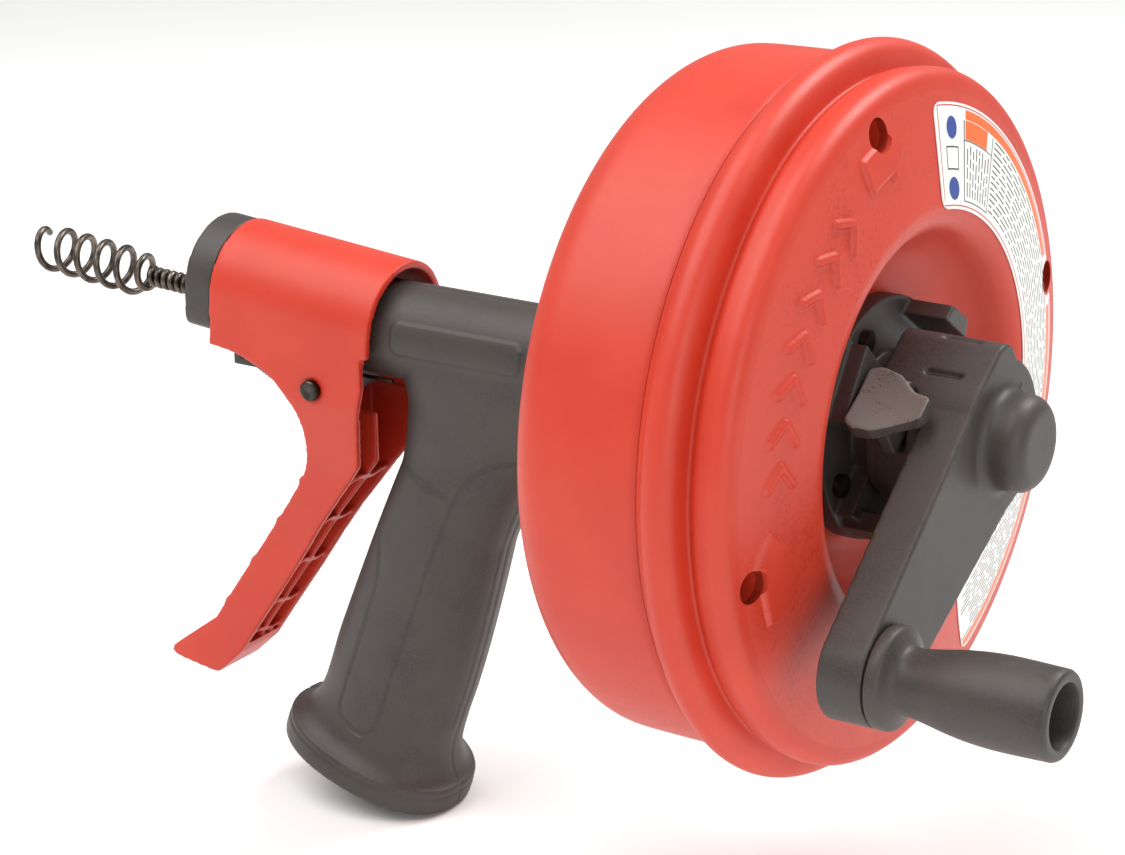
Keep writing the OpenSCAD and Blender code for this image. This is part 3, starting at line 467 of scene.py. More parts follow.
def faceRelief(radius, degrees):  # raised arrows and chevrons on the cover's face, 0 to 1
    height = np.zeros(len(radius))
    for centre, mid, half, head, length in ((103.5, 76.6, 4.6, 6.6, 19), (193.6, 75.4, 4.4, 6.6, 24)):
        away = (degrees - centre + 180) % 360 - 180
        u = -np.radians(away) * mid  # along the arrow, towards its tip
        v = radius - mid
        tip, neck, tail = length / 2, length / 2 - 7.5, -length / 2
        outline = [(tip, 0), (neck, head), (neck, half), (tail, half), (tail, -half), (neck, -half), (neck, -head)]
        near = (np.abs(u) < length) & (np.abs(v) < 12)
        if near.any():
            away = signedTo(np.stack([u[near], v[near]], 1), outline)
            height[near] = np.maximum(height[near], ease(-away, -drum["reliefEdge"] / 2, drum["reliefEdge"] / 2))
    for k in range(7):  # plain chevrons that point the way the drum is driven
        away = (degrees - (121.5 + 8.8 * k) + 180) % 360 - 180
        u = -np.radians(away) * 71.5
        v = radius - 71.5
        near = (np.abs(u) < 9) & (np.abs(v) < 9)
        if near.any():
            line = [(-2.4, 4.6), (2.6, 0), (-2.4, -4.6)]
            d = distanceTo(np.stack([u[near], v[near]], 1), line) - 1.05
            height[near] = np.maximum(height[near], ease(-d, -0.4, 0.4))
    return height


def makeDrumRear():
    d = drum
    outside = [(d["seamX"], d["lipR"] - 0.4), (d["seamX"] + 0.4, d["lipR"])]
    outside += arcProfile(d["beadX"], d["beadR"] - d["beadRound"], d["beadRound"], -70, 76, 14)
    outside += [(d["valleyX"] - 0.2, d["valleyR"] + 0.3), (d["valleyX"] + 0.8, d["valleyR"] + 0.3),
                (d["valleyX"] + 2.2, d["sideR"] - 0.8)]
    outside += arcProfile(d["edgeX"], d["sideR"] - d["edgeR"], d["edgeR"], 0, 75, 10)
    outside += [(d["rimX"] - 1.2, 57.5)]
    bowl = curveThrough([(12.5, 56.6), (11.9, 53.8), (10.2, 51.4), (7.6, 49.7), (3.4, 47.2), (-0.8, 43.2), (-4.0, 37.6),
                         (-5.3, 33.6)], 5)
    outside += [tuple(p) for p in bowl] + [(-5.7, 31), (-5.7, 24), (-5.7, d["boreR"])]
    line = softProfile(outside, d["grid"], 0.7)
    inner = [(x, r) for x, r in line[::9]]
    inner = [(x - 2.3 * (0.2 if r > 90 else 1.0), r - (2.4 if r > 86 else 0.6)) for x, r in inner if r > 15]
    inner = [(-8.1, d["boreR"])] + list(reversed(inner)) + [(d["seamX"], d["lipR"] - 2.4)]
    shell = spun("drumRear", [tuple(p) for p in line] + inner, d["steps"])
    co = vertexArray(shell)
    radius = np.hypot(co[:, 1], co[:, 2])
    degrees = np.degrees(np.arctan2(co[:, 2], co[:, 1]))
    onFace = np.zeros(len(co), bool)
    onFace[:len(line) * d["steps"]] = True
    onFace &= (radius > 60) & (radius < 86) & (co[:, 0] > 2)
    rise = np.zeros(len(co))
    rise[onFace] = faceRelief(radius[onFace], degrees[onFace])
    co[:, 0] += rise * d["reliefHeight"]
    setVertices(shell, co)
    outward(shell)
    shell.data.materials.append(redSatin)
    shell.data.materials.append(redPebbled)
    centres = np.array([p.center for p in shell.data.polygons]) / mm
    r = np.hypot(centres[:, 1], centres[:, 2])
    a = np.degrees(np.arctan2(centres[:, 2], centres[:, 1]))
    pebbled = (r > 56.5) & (r < 86.2) & (centres[:, 0] > 4)
    smooth = np.zeros(len(r), bool)
    smooth[pebbled] = faceRelief(r[pebbled], a[pebbled]) > 0.6
    shell.data.polygons.foreach_set("material_index", (pebbled & ~smooth).astype(np.int32))
    faceLine = line[(line[:, 0] > 1.5) & (line[:, 1] > 54)]
    order = np.argsort(faceLine[:, 1])
    faceAt = lambda rr: np.interp(rr, faceLine[order, 1], faceLine[order, 0])
    cups = []
    for k in range(4):
        turn = math.radians(d["screwTurn"] + 90 * k)
        cy, cz = d["screwR"] * math.cos(turn), d["screwR"] * math.sin(turn)
        cutter = rod("hole", d["recessR"], -11, 30, "x", (cy, cz), 64)
        boolean(shell, cutter, "DIFFERENCE")
        rings = []
        steps = ((5.3, "low"), (5.3, "rim"), (d["recessR"], "rim"), (d["recessR"], "floor"), (1.9, "floor"))
        for radiusHere, level in steps:
            ring = []
            for y, z in ringPoints(radiusHere, 64, (cy, cz)):
                rr = math.hypot(y, z)
                rim = float(faceAt(rr)) - (0.9 if radiusHere > 5 else 0.12)
                ring.append((rim if level == "rim" else d["recessFloorX"] - (1.2 if level == "low" else 0), y, z))
            rings.append(ring)
        cups.append(loft("cup", rings))
    for cup in cups:
        cup.data.materials.append(redSatin)
    joined("drumRear", [shell] + cups)
    smoothFaces(shell, 40)
    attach(shell, "drum")
    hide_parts("drum_rear")
    return faceAt


def makeDrumFront():
    d = drum
    corner = d["radius"] - d["frontEdge"]
    outside = [(d["seamX"] - 0.2, d["lipR"] - 0.5), (d["seamX"] - 0.6, d["lipR"]), (d["seamX"] - 14, d["radius"] + 0.3),
               (d["frontX"] + d["frontEdge"] + 2, d["radius"] + 0.1)]
    outside += arcProfile(d["frontX"] + d["frontEdge"], corner, d["frontEdge"], 0, -90, 14)
    outside += [(d["frontX"], 70), (d["frontX"] - 0.5, 40), (d["frontX"] - 1.3, 24), (d["frontX"] - 3.4, 18.6),
                (d["frontX"] - 4, 17.2), (d["frontX"] - 4, 12.1)]
    line = softProfile(outside, 1.0, 0.7)
    line[:, 0] = np.maximum(line[:, 0], d["frontX"] - 4)
    inner = [(-42, 12.1), (-42, 17), (d["frontX"] + 2.4, 17), (d["frontX"] + 2.4, corner)]
    inner += arcProfile(d["frontX"] + d["frontEdge"], corner, d["frontEdge"] - 2.4, -90, 0, 8)
    inner += [(d["seamX"] - 0.2, d["lipR"] - 2.4)]
    shell = outward(spun("drumFront", [tuple(p) for p in line] + inner, 420))
    ribs = []
    for k in range(12):  # shallow radial ribs that stiffen the flat front
        rib = loft("rib", [[(d["frontX"] - lift, r, w) for r, w in
                            ((26, -w0), (80, -w0 * 0.8), (80, w0 * 0.8), (26, w0))]
                           for lift, w0 in ((-0.6, 1.6), (0.5, 1.5), (0.9, 1.0))])
        turned(Matrix.Rotation(math.radians(30 * k + 15), 4, "X"), rib)
        ribs.append(rib)
    joined("drumFront", [shell] + ribs)
    smoothFaces(shell, 35)
    finishPiece(shell, redSatin, "drum", "drum_front", slot="red_plastic")


faceAt = makeDrumRear()
makeDrumFront()
print("drum made")


label = {"inner": 56.4, "outer": 83.4, "top": 83.0, "bottom": -70.0, "corner": 3.0, "lift": 0.12, "thick": 0.16,
         "bandIn": 79.6, "bandOut": 82.0, "rows": 13, "seed": 7}


def polarPatch(points, faces, r0, r1, a0, a1, lift):  # patch on the cover's face
    count = max(2, int(abs(a1 - a0) / 1.2) + 1)
    across = max(2, int((r1 - r0) / 2.5) + 1)
    start = len(points)
    for j in range(across):
        r = r0 + (r1 - r0) * j / (across - 1)
        for i in range(count):
            a = math.radians(a0 + (a1 - a0) * i / (count - 1))
            points.append((float(faceAt(r)) + lift, r * math.cos(a), r * math.sin(a)))
    for j in range(across - 1):
        for i in range(count - 1):
            p = start + j * count + i
            faces.append((p, p + 1, p + count + 1, p + count))


def makeLabel():
    v = label
    rows, columns = 40, 330
    ring = []
    for j in range(rows):
        r = v["inner"] + (v["outer"] - v["inner"]) * j / (rows - 1)
        edge = min(r - v["inner"], v["outer"] - r)
        pull = v["corner"] - math.sqrt(max(0, v["corner"] ** 2 - max(0, v["corner"] - edge) ** 2))
        trim = math.degrees(pull / r)
        top = v["top"] - trim
        bottom = v["bottom"] + trim + 4.0 * (r - v["inner"]) / (v["outer"] - v["inner"])
        ring.append([(r, bottom + (top - bottom) * i / (columns - 1)) for i in range(columns)])
    points, faces = [], []
    for lift in (v["lift"], v["lift"] + v["thick"]):
        for row in ring:
            for r, a in row:
                points.append((float(faceAt(r)) + lift, r * math.cos(math.radians(a)), r * math.sin(math.radians(a))))
    n = rows * columns
    for j in range(rows - 1):
        for i in range(columns - 1):
            p = j * columns + i
            q = (p, p + 1, p + columns + 1, p + columns)
            faces.append(tuple(n + k for k in q))
            faces.append(tuple(reversed(q)))
    rim = [j * columns for j in range(rows)] + [(rows - 1) * columns + i for i in range(1, columns)]
    rim += [j * columns + columns - 1 for j in range(rows - 2, -1, -1)] + [i for i in range(columns - 2, 0, -1)]
    for p, q in zip(rim, rim[1:] + rim[:1]):
        faces.append((p, q, n + q, n + p))
    film = outward(newMesh("ratingLabel", points, faces))
    for k in (0, 3):
        turn = math.radians(drum["screwTurn"] + 90 * k)
        hole = rod("notch", 5.2, 0, 20, "x", (drum["screwR"] * math.cos(turn), drum["screwR"] * math.sin(turn)), 48)
        boolean(film, hole, "DIFFERENCE")
    smoothFaces(film, 40)
    finishPiece(film, labelWhite, "drum", "rating_label", slot="label_paper")

    ink = label["lift"] + label["thick"] + 0.03
    rng = random.Random(v["seed"])
    prints = {"labelBand": labelOrange, "labelBorder": labelRed, "labelMarks": labelInk, "labelDiscs": labelBlue}
    patches = {"labelBand": [(v["bandIn"], v["bandOut"], 18.5, 70.0), (v["bandIn"], v["bandOut"], -66.0, 7.5),
                             (74.5, 79.4, 59.5, 70.0)],
               "labelBorder": [(57.2, 57.5, -68.5, 81.5), (82.45, 82.75, 17.5, 81.5), (82.45, 82.75, -64.5, 8.5),
                               (57.2, 82.7, 81.5, 81.75)],
               "labelMarks": [(58.6, 79.4, 70.4, 70.8), (58.6, 79.2, 56.6, 56.9), (58.6, 58.9, 57.0, 70.5),
                              (74.1, 74.4, 57.0, 70.5), (66.3, 66.7, 73.4, 79.0), (71.9, 72.3, 73.4, 79.0),
                              (66.3, 72.3, 73.4, 73.7), (66.3, 72.3, 78.7, 79.0)],
               "labelDiscs": []}
    for k in range(v["rows"]):  # rows of short dashes in place of words
        r = 59.8 + k * (78.6 - 59.8) / (v["rows"] - 1)
        a = 55.6
        while a > -63:
            run = rng.uniform(1.6, 5.5)
            patches["labelMarks"].append((r - 0.22, r + 0.22, a - run, a))
            a -= run + rng.uniform(0.7, 1.4)
    for k in range(8):
        a = 69.2 - 1.55 * k
        r = 60.0
        while r < 72.6:
            run = rng.uniform(1.6, 4.2)
            patches["labelMarks"].append((r, min(r + run, 73.2), a - 0.42, a))
            r += run + rng.uniform(0.6, 1.0)
    for name, material in prints.items():
        points, faces = [], []
        for r0, r1, a0, a1 in patches[name]:
            polarPatch(points, faces, r0, r1, a0, a1, ink)
        if name == "labelDiscs":
            for r in (61.6, 77.0):
                start = len(points)
                for a in range(36):
                    y = r * math.cos(math.radians(76.2)) + 2.9 * math.cos(math.radians(10 * a))
                    z = r * math.sin(math.radians(76.2)) + 2.9 * math.sin(math.radians(10 * a))
                    points.append((float(faceAt(math.hypot(y, z))) + ink, y, z))
                faces.append(tuple(range(start, start + 36)))
        piece = newMesh(name, points, faces)
        thick = piece.modifiers.new("ink", "SOLIDIFY")
        thick.thickness = 0.03 * mm
        thick.offset = 1
        settle(piece)
        finishPiece(piece, material, "drum", slot="label_paper")


makeLabel()
print("label made")


hub = {"voxel": 0.5, "rounds": 5}
crank = {
    "turn": 215.0, "throw": 75.0, "headR": 20.9, "headX": 5.7, "inX": 21.9, "outX": 34.3, "wall": 2.5,
    "rootR": 20.0, "endR": 13.3, "domeR": 12.8, "domeTop": 45.4, "voxel": 0.5, "rounds": 6,
    "knobX": 34.6, "knobEnd": 82.5,
}


def copyOf(name, node):
    obj = bpy.data.objects.new(name, cadNodes[node].data.copy())
    scene.collection.objects.link(obj)
    obj.data.materials.clear()
    return outward(obj)


def taperLink(r1, r2, d, count=48):
    a = math.degrees(math.acos((r1 - r2) / d))
    return ringPoints(r1, count, (0, 0), a, 360 - a, False) + ringPoints(r2, count, (d, 0), -a, a, False)


def makeHub():
    body = moulded(copyOf("driveHub", "drive_hub"), hub["voxel"], hub["rounds"])
    finishPiece(body, blackNylon, "drum", "drive_hub", slot="grip_plastic")


def inCrank(*objs):
    return turned(Matrix.Rotation(math.radians(crank["turn"]), 4, "X"), *objs)


def makeCrank():
    v = crank
    arm = prism("crankArm", taperLink(v["rootR"], v["endR"], v["throw"]), v["inX"], v["outX"] - 0.04, "x")
    c, h = 6.0, v["headR"] - 0.04  # just clear of the head's tangent
    corner = ringPoints(c, 12, (-h + c + 3, -h + c), 180, 270, False)
    square = corner + [(0, -h), (0, 0), (-h + 3, 0)]
    head = rod("head", h, v["headX"], v["outX"], "x", (0, 0), 96)
    head = assembled(head, [prism("corner", square, v["headX"] + 0.02, v["outX"] - 0.02, "x")])
    hollow = rod("hollow", h - v["wall"], v["headX"] - 1, v["outX"] - 3, "x", (0, 0), 72)
    trough = [(h, -15.6), (v["throw"] - 11, -11.7), (v["throw"] - 11, 11.7), (h, 15.6)]
    channel = prism("channel", trough, v["inX"] - 1, v["outX"] - 3, "x")
    assembled(arm, [head], [hollow, channel])
    inside = [rod("core", 7.8, 8.0, v["outX"] - 2, "x"),
              block("springRib", (12.8, 0, -8), (v["outX"] - 2, 19, 8)),
              block("armRib", (v["inX"] + 1, 20, -1), (v["outX"] - 2, v["throw"], 1)),
              rod("knobBoss", 9.0, v["inX"], v["outX"] - 1, "x", (v["throw"], 0))]
    base = v["outX"]
    domeLine = [(base - 1, 0), (base - 1, v["domeR"] + 3), (base - 0.05, v["domeR"] + 3)]
    domeLine += [(base + 3.0 * (1 - math.cos(math.radians(a))), v["domeR"] + 3.0 * (1 - math.sin(math.radians(a))))
                 for a in range(0, 91, 15)]
    domeLine += arcProfile(v["domeTop"] - 5, v["domeR"] - 5, 5, 0, 90, 9) + [(v["domeTop"], 0)]
    dome = outward(spun("dome", domeLine, 72, closed=False))
    inside.append(dome)
    cuts = [prism("hexBore", ringPoints(8.1 / math.sqrt(3), 6), 4, 39, "x"),
            rod("axleBore", 4.03, v["inX"] - 1, v["outX"] + 2, "x", (v["throw"], 0)),
            prism("nutSeat", [(a + v["throw"], b) for a, b in ringPoints(12.2 / math.sqrt(3), 6)], v["inX"] - 1,
                  v["inX"] + 4.4, "x")]
    for side in (-1, 1):
        z0, z1 = sorted((side * 11.5, side * 25))
        cuts.append(block("window", (12.5, 3.3, z0), (17.1, 20.3, z1)))
    for y0, y1 in ((-15.2, -13.6), (-3.4, -1.8)):  # short grooves in the head's flat side
        cuts.append(block("groove", (17.0, y0, -22), (27.5, y1, -h + 1.3)))
    assembled(arm, inside, cuts)
    for side in (-1, 1):  # flat chamfers at the knob's end
        corner = [(v["throw"] + 8, side * 15), (v["throw"] + 15, side * 15), (v["throw"] + 15, side * 5.5)]
        wedge = prism("chamfer", corner, v["inX"] - 1, v["outX"] + 1, "x")
        boolean(arm, wedge, "DIFFERENCE")
    moulded(arm, v["voxel"], v["rounds"])
    co, no = vertexArray(arm), normalArray(arm)
    top = (no[:, 0] > 0.8) & (co[:, 0] > v["outX"] - 1)
    flat = co[:, 1:]
    rise = np.zeros(len(co))
    for cy, cz, side in ((-13.6, 3.2, -1), (-13.6, -3.6, 1)):  # two small raised arrowheads
        tri = [(cy - 2.6, cz), (cy + 1.8, cz + 2.6 * side), (cy + 1.8, cz - 2.0 * side)]
        near = top & (np.abs(flat - (cy, cz)).max(axis=1) < 6)
        rise[near] = np.maximum(rise[near], ease(-signedTo(flat[near], tri), -0.3, 0.3))
    co[:, 0] += 0.4 * rise
    setVertices(arm, co)
    inCrank(arm)
    finishPiece(arm, blackNylon, "crank", "crank_arm", slot="grip_plastic")


def makeKnob():
    x0, x1 = crank["knobX"], crank["knobEnd"]
    line = curveThrough([(x0 + 5.4, 9.9), (x0 + 6.4, 9.0), (x0 + 8.4, 8.7), (x0 + 13, 9.35), (x0 + 19, 10.5),
                         (x0 + 25, 11.3), (x0 + 31, 11.7), (x0 + 38, 11.7), (x1 - 1.2, 11.5)], 6)
    outside = [(x0, 4.2), (x0, 12.6), (x0 + 0.3, 13.1), (x0 + 0.8, 13.3), (x0 + 3.0, 13.3), (x0 + 3.7, 13.0),
               (x0 + 4.1, 12.4), (x0 + 4.6, 11.2)]
    outside += [tuple(p) for p in line]
    outside += [(x1 - 0.4, 11.1), (x1 - 0.05, 10.5), (x1, 10.1), (x1, 8.9), (x1 - 0.15, 8.45), (x1 - 0.7, 8.15),
                (x1 - 12.4, 8.1), (x1 - 12.4, 4.2)]
    knob = outward(spun("crankKnob", outside, 128))
    turned(Matrix.Translation((0, crank["throw"] * mm, 0)), knob)
    inCrank(knob)
    smoothFaces(knob, 35)
    finishPiece(knob, blackNylon, "knob", "crank_knob", slot="grip_plastic")


def makeLatch(node, body, mirrored):
    pad = rounded([(6.1, 4.2), (9.5, 3.0), (15, 4.0), (20.5, 8.2), (25.7, 9.6), (25.7, 16.2), (20.5, 18.6), (14, 22.6),
                   (8.5, 23.0), (6.1, 21.0)], 2.2)
    parts = [prism("pad", pad, -28.5, -22.8, "z")]
    stem = [block("stem", (12.8, 3.6, -24), (16.8, 20, -14)), block("web", (12.8, -4, -17.4), (16.8, 14, -14)),
            block("bridge", (12.8, -4, -17.4), (16.8, 4, -10.2)), block("leg", (6.1, -4, -12.3), (13.3, 4, -10.2)),
            block("hook", (6.1, -4, -14.3), (8.7, 4, -10.2))]
    latch = moulded(assembled(parts[0], stem), 0.42, 4)
    co = vertexArray(latch)
    onPad = co[:, 2] < -25.0
    bowl = np.clip(1 - ((co[:, 0] - 15.5) / 13.0) ** 2, 0, 1)
    side = np.clip(1 - ((co[:, 1] - 13) / 13.0) ** 2, 0, 1)
    depth = ease(-co[:, 2], 25.0, 28.5)
    co[:, 2] += np.where(onPad, 3.1 * bowl * side * depth, 0)
    setVertices(latch, co)
    latch.data.materials.append(blackNylon)
    latch.data.materials.append(blackBlasted)
    centres = np.array([p.center for p in latch.data.polygons]) / mm
    facing = np.array([p.normal.z for p in latch.data.polygons])
    thumb = (centres[:, 2] < -24.0) & (facing < -0.45)
    latch.data.polygons.foreach_set("material_index", thumb.astype(np.int32))
    if mirrored:
        turned(Matrix.Scale(-1, 4, (0, 0, 1)), latch)
    inCrank(latch)
    finishPiece(latch, None, body, node, slot="grip_plastic")


makeHub()
makeCrank()
makeKnob()
makeLatch("latch_near", "latch_near", False)
makeLatch("latch_far", "latch_far", True)
print("hub and crank made")


grip = {
    "originX": -119.4, "lean": 19.2, "barrelX": -163.3, "barrelEnd": -65.3, "barrelR": 13.9, "boreR": 9.05,
    "neck": [(-4.6, -151.0, -86.5, 12.9, 5.0), (-7, -150.6, -86.9, 13.0, 4.0), (-12, -149.9, -88.6, 13.0, 3.4),
             (-18, -149.0, -92.5, 13.0, 3.0), (-26, -149.8, -100.2, 13.0, 2.8), (-34, -151.2, -106.8, 13.2, 2.6),
             (-43, -153.6, -112.0, 13.9, 2.5), (-52, -156.0, -116.0, 14.6, 2.4), (-60, -158.4, -119.4, 15.2, 2.4)],
    # along the grip, shift, half depth, half width, squareness
    "palm": [(44, 0.4, 18.8, 14.2, 2.4), (56, 0.2, 19.6, 15.2, 2.4), (68, 0.1, 20.5, 16.0, 2.35),
             (80, 0.0, 21.3, 16.5, 2.3), (94, -0.2, 22.0, 16.8, 2.3), (106, -0.5, 22.4, 16.8, 2.3),
             (116, -0.7, 22.3, 16.6, 2.3), (123, -0.9, 22.3, 16.5, 2.3), (128.5, -1.0, 23.0, 17.0, 2.3),
             (132.5, -0.9, 24.6, 18.4, 2.3), (134.8, -1.1, 26.6, 20.2, 2.3), (136.0, -1.2, 28.4, 21.7, 2.3),
             (136.7, -1.2, 29.3, 22.5, 2.3), (143.2, -1.2, 29.5, 22.8, 2.3), (144.2, -1.2, 28.7, 22.0, 2.3)],
    "panel": [(-101.0, -27.6), (-105.4, -29.0), (-114.5, -30.8), (-121.5, -34.6), (-126.8, -41.6), (-131.0, -51.5),
              (-136.2, -64.6), (-141.3, -78.9), (-148.6, -98.0), (-155.4, -115.8), (-157.6, -119.2), (-161.0, -120.9),
              (-165.2, -119.6), (-168.6, -116.8), (-169.4, -113.6), (-166.2, -104.5), (-161.9, -92.7),
              (-158.2, -82.6), (-155.2, -73.6), (-154.4, -66.5), (-155.2, -61.0), (-157.6, -55.0)],
    "groove": 0.55, "grooveDepth": 0.5, "voxel": 0.55, "rounds": 6,
    # holes for the screw heads in the far half, along X and Z
    "seats": [(-138.3, -20), (-107.3, -20), (-143.08, -67.99), (-157.55, -109.55)], "seatR": 3.3, "seatFloor": 9.0,
}


def superRing(cx, cy, a, b, power, z, count=72):
    ring = []
    for k in range(count):
        t = 2 * math.pi * k / count
        c, s = math.cos(t), math.sin(t)
        ring.append((cx + a * math.copysign(abs(c) ** (2 / power), c),
                     cy + b * math.copysign(abs(s) ** (2 / power), s), z))
    return ring


def makeGrip():
    v = grip
    lean = Matrix.Translation((v["originX"] * mm, 0, 0)) @ Matrix.Rotation(math.radians(v["lean"]), 4, "Y")
    barrel = rod("gripBody", v["barrelR"], v["barrelX"], v["barrelEnd"], "x", (0, 0), 128)
    neckLine = curveThrough([(z, x0, x1, w, p) for z, x0, x1, w, p in v["neck"]], 4)
    neck = loft("neck", [superRing((x0 + x1) / 2, 0, (x1 - x0) / 2, w, p, z) for z, x0, x1, w, p in neckLine])
    palmLine = curveThrough(v["palm"], 5)
    palm = loft("palm", [superRing(c, 0, a, b, p, -s) for s, c, a, b, p in palmLine])
    turned(lean, palm)
    body = joined("gripBody", [barrel, neck, palm])
    moulded(body, v["voxel"], v["rounds"])
    co, no = vertexArray(body), normalArray(body)
    sides = np.abs(no[:, 1]) > 0.12
    flat = co[:, [0, 2]]
    panel = curveThrough(v["panel"], 5)
    sink = np.zeros(len(co))
    near = sides & (co[:, 2] < -22) & (np.abs(co[:, 1]) > 3)
    away = distanceTo(flat[near], panel)
    sink[near] += v["grooveDepth"] * (1 - ease(away, v["groove"] * 0.25, v["groove"] + 0.45))
    along = np.interp(flat[near][:, 1], panel[:48, 1][::-1], panel[:48, 0][::-1])
    sink[near] += 0.22 * ease(flat[near][:, 0] - along, 0.0, 0.9) * ease(-flat[near][:, 1], 30, 36) * ease(
        flat[near][:, 1], -122, -116)
    barrelSide = sides & (co[:, 2] > -5) & (np.abs(co[:, 1]) > 6)
    plate = [(-146.5, 6.4), (-106.5, 6.4), (-104.5, 4.4), (-104.5, -0.6), (-106.5, -2.6), (-146.5, -2.6),
             (-148.0, -1.0), (-148.0, 4.8)]
    signed = signedTo(flat[barrelSide], plate)
    sink[barrelSide] -= 0.5 * ease(-signed, -0.35, 0.35)
    line = [(-149, -5.4), (-100, -5.4)]
    sink[barrelSide] += 0.35 * (1 - ease(distanceTo(flat[barrelSide], line), 0.2, 0.8))
    seam = np.abs(co[:, 1]) < 0.9
    sink += np.where(seam, 0.28 * (1 - ease(np.abs(co[:, 1]), 0.1, 0.8)), 0)
    rimLine = (co @ np.array([math.sin(math.radians(v["lean"])), 0, math.cos(math.radians(v["lean"]))])
               - v["originX"] * math.sin(math.radians(v["lean"])))
    sink += 0.3 * (1 - ease(np.abs(rimLine + 138.2), 0.15, 0.7)) * (rimLine < -134)
    setVertices(body, co - no * sink[:, None])
    boolean(body, rod("bore", v["boreR"], -166, -62, "x", (0, 0), 96), "DIFFERENCE")
    for x, z in v["seats"]:
        boolean(body, rod("seat", v["seatR"], v["seatFloor"], 30, "y", (x, z), 40), "DIFFERENCE")
    other = body.copy()
    other.data = body.data.copy()
    other.name = "gripRight"
    scene.collection.objects.link(other)
    body.name = "gripLeft"
    boolean(body, block("half", (-260, -60, -200), (0, 0, 60)), "INTERSECT")
    boolean(other, block("half", (-260, 0.02, -200), (0, 60, 60)), "INTERSECT")
    for obj, node in ((body, "grip_left"), (other, "grip_right")):
        smoothFaces(obj, 50)
        finishPiece(obj, blackNylon, "housing", node, slot="grip_plastic")


makeGrip()
print("grip made")


trigger = {
    "pinX": -172.9, "pinZ": -16.2, "tilt": 5.0, "shellX": -210.6, "shellEnd": -154.6, "shellR": 18.5,
    "shellIn": 16.2, "shellZ": 3.0, "wall": 2.3, "voxel": 0.5, "rounds": 5, "ribs": (-47, -62, -77, -92, -103),
    "outline": [(-35.6, 4), (-36.8, -8.5), (-27, -10), (-17, -14), (-12, -18), (-7.4, -24), (-5.8, -33), (-8.0, -43),
                (-14.6, -53.6), (-27.0, -70.6), (-38.4, -86.5), (-48.2, -100.9), (-68.0, -113.4), (-47.0, -116.6),
                (-38, -108.3), (-30, -96.9), (-18.5, -80.8), (-4.9, -60.8), (11.6, -39.4), (14.6, -24.4), (17, -14),
                (17, 4)],
    "front": [(18.5, 20), (18.5, -20), (12.5, -45), (9.9, -70), (9.5, -130)],
}


def noseUp(*objs):
    v = trigger
    pin = Matrix.Translation((v["pinX"] * mm, 0, v["pinZ"] * mm))
    return turned(pin @ Matrix.Rotation(math.radians(v["tilt"]), 4, "Y") @ pin.inverted(), *objs)


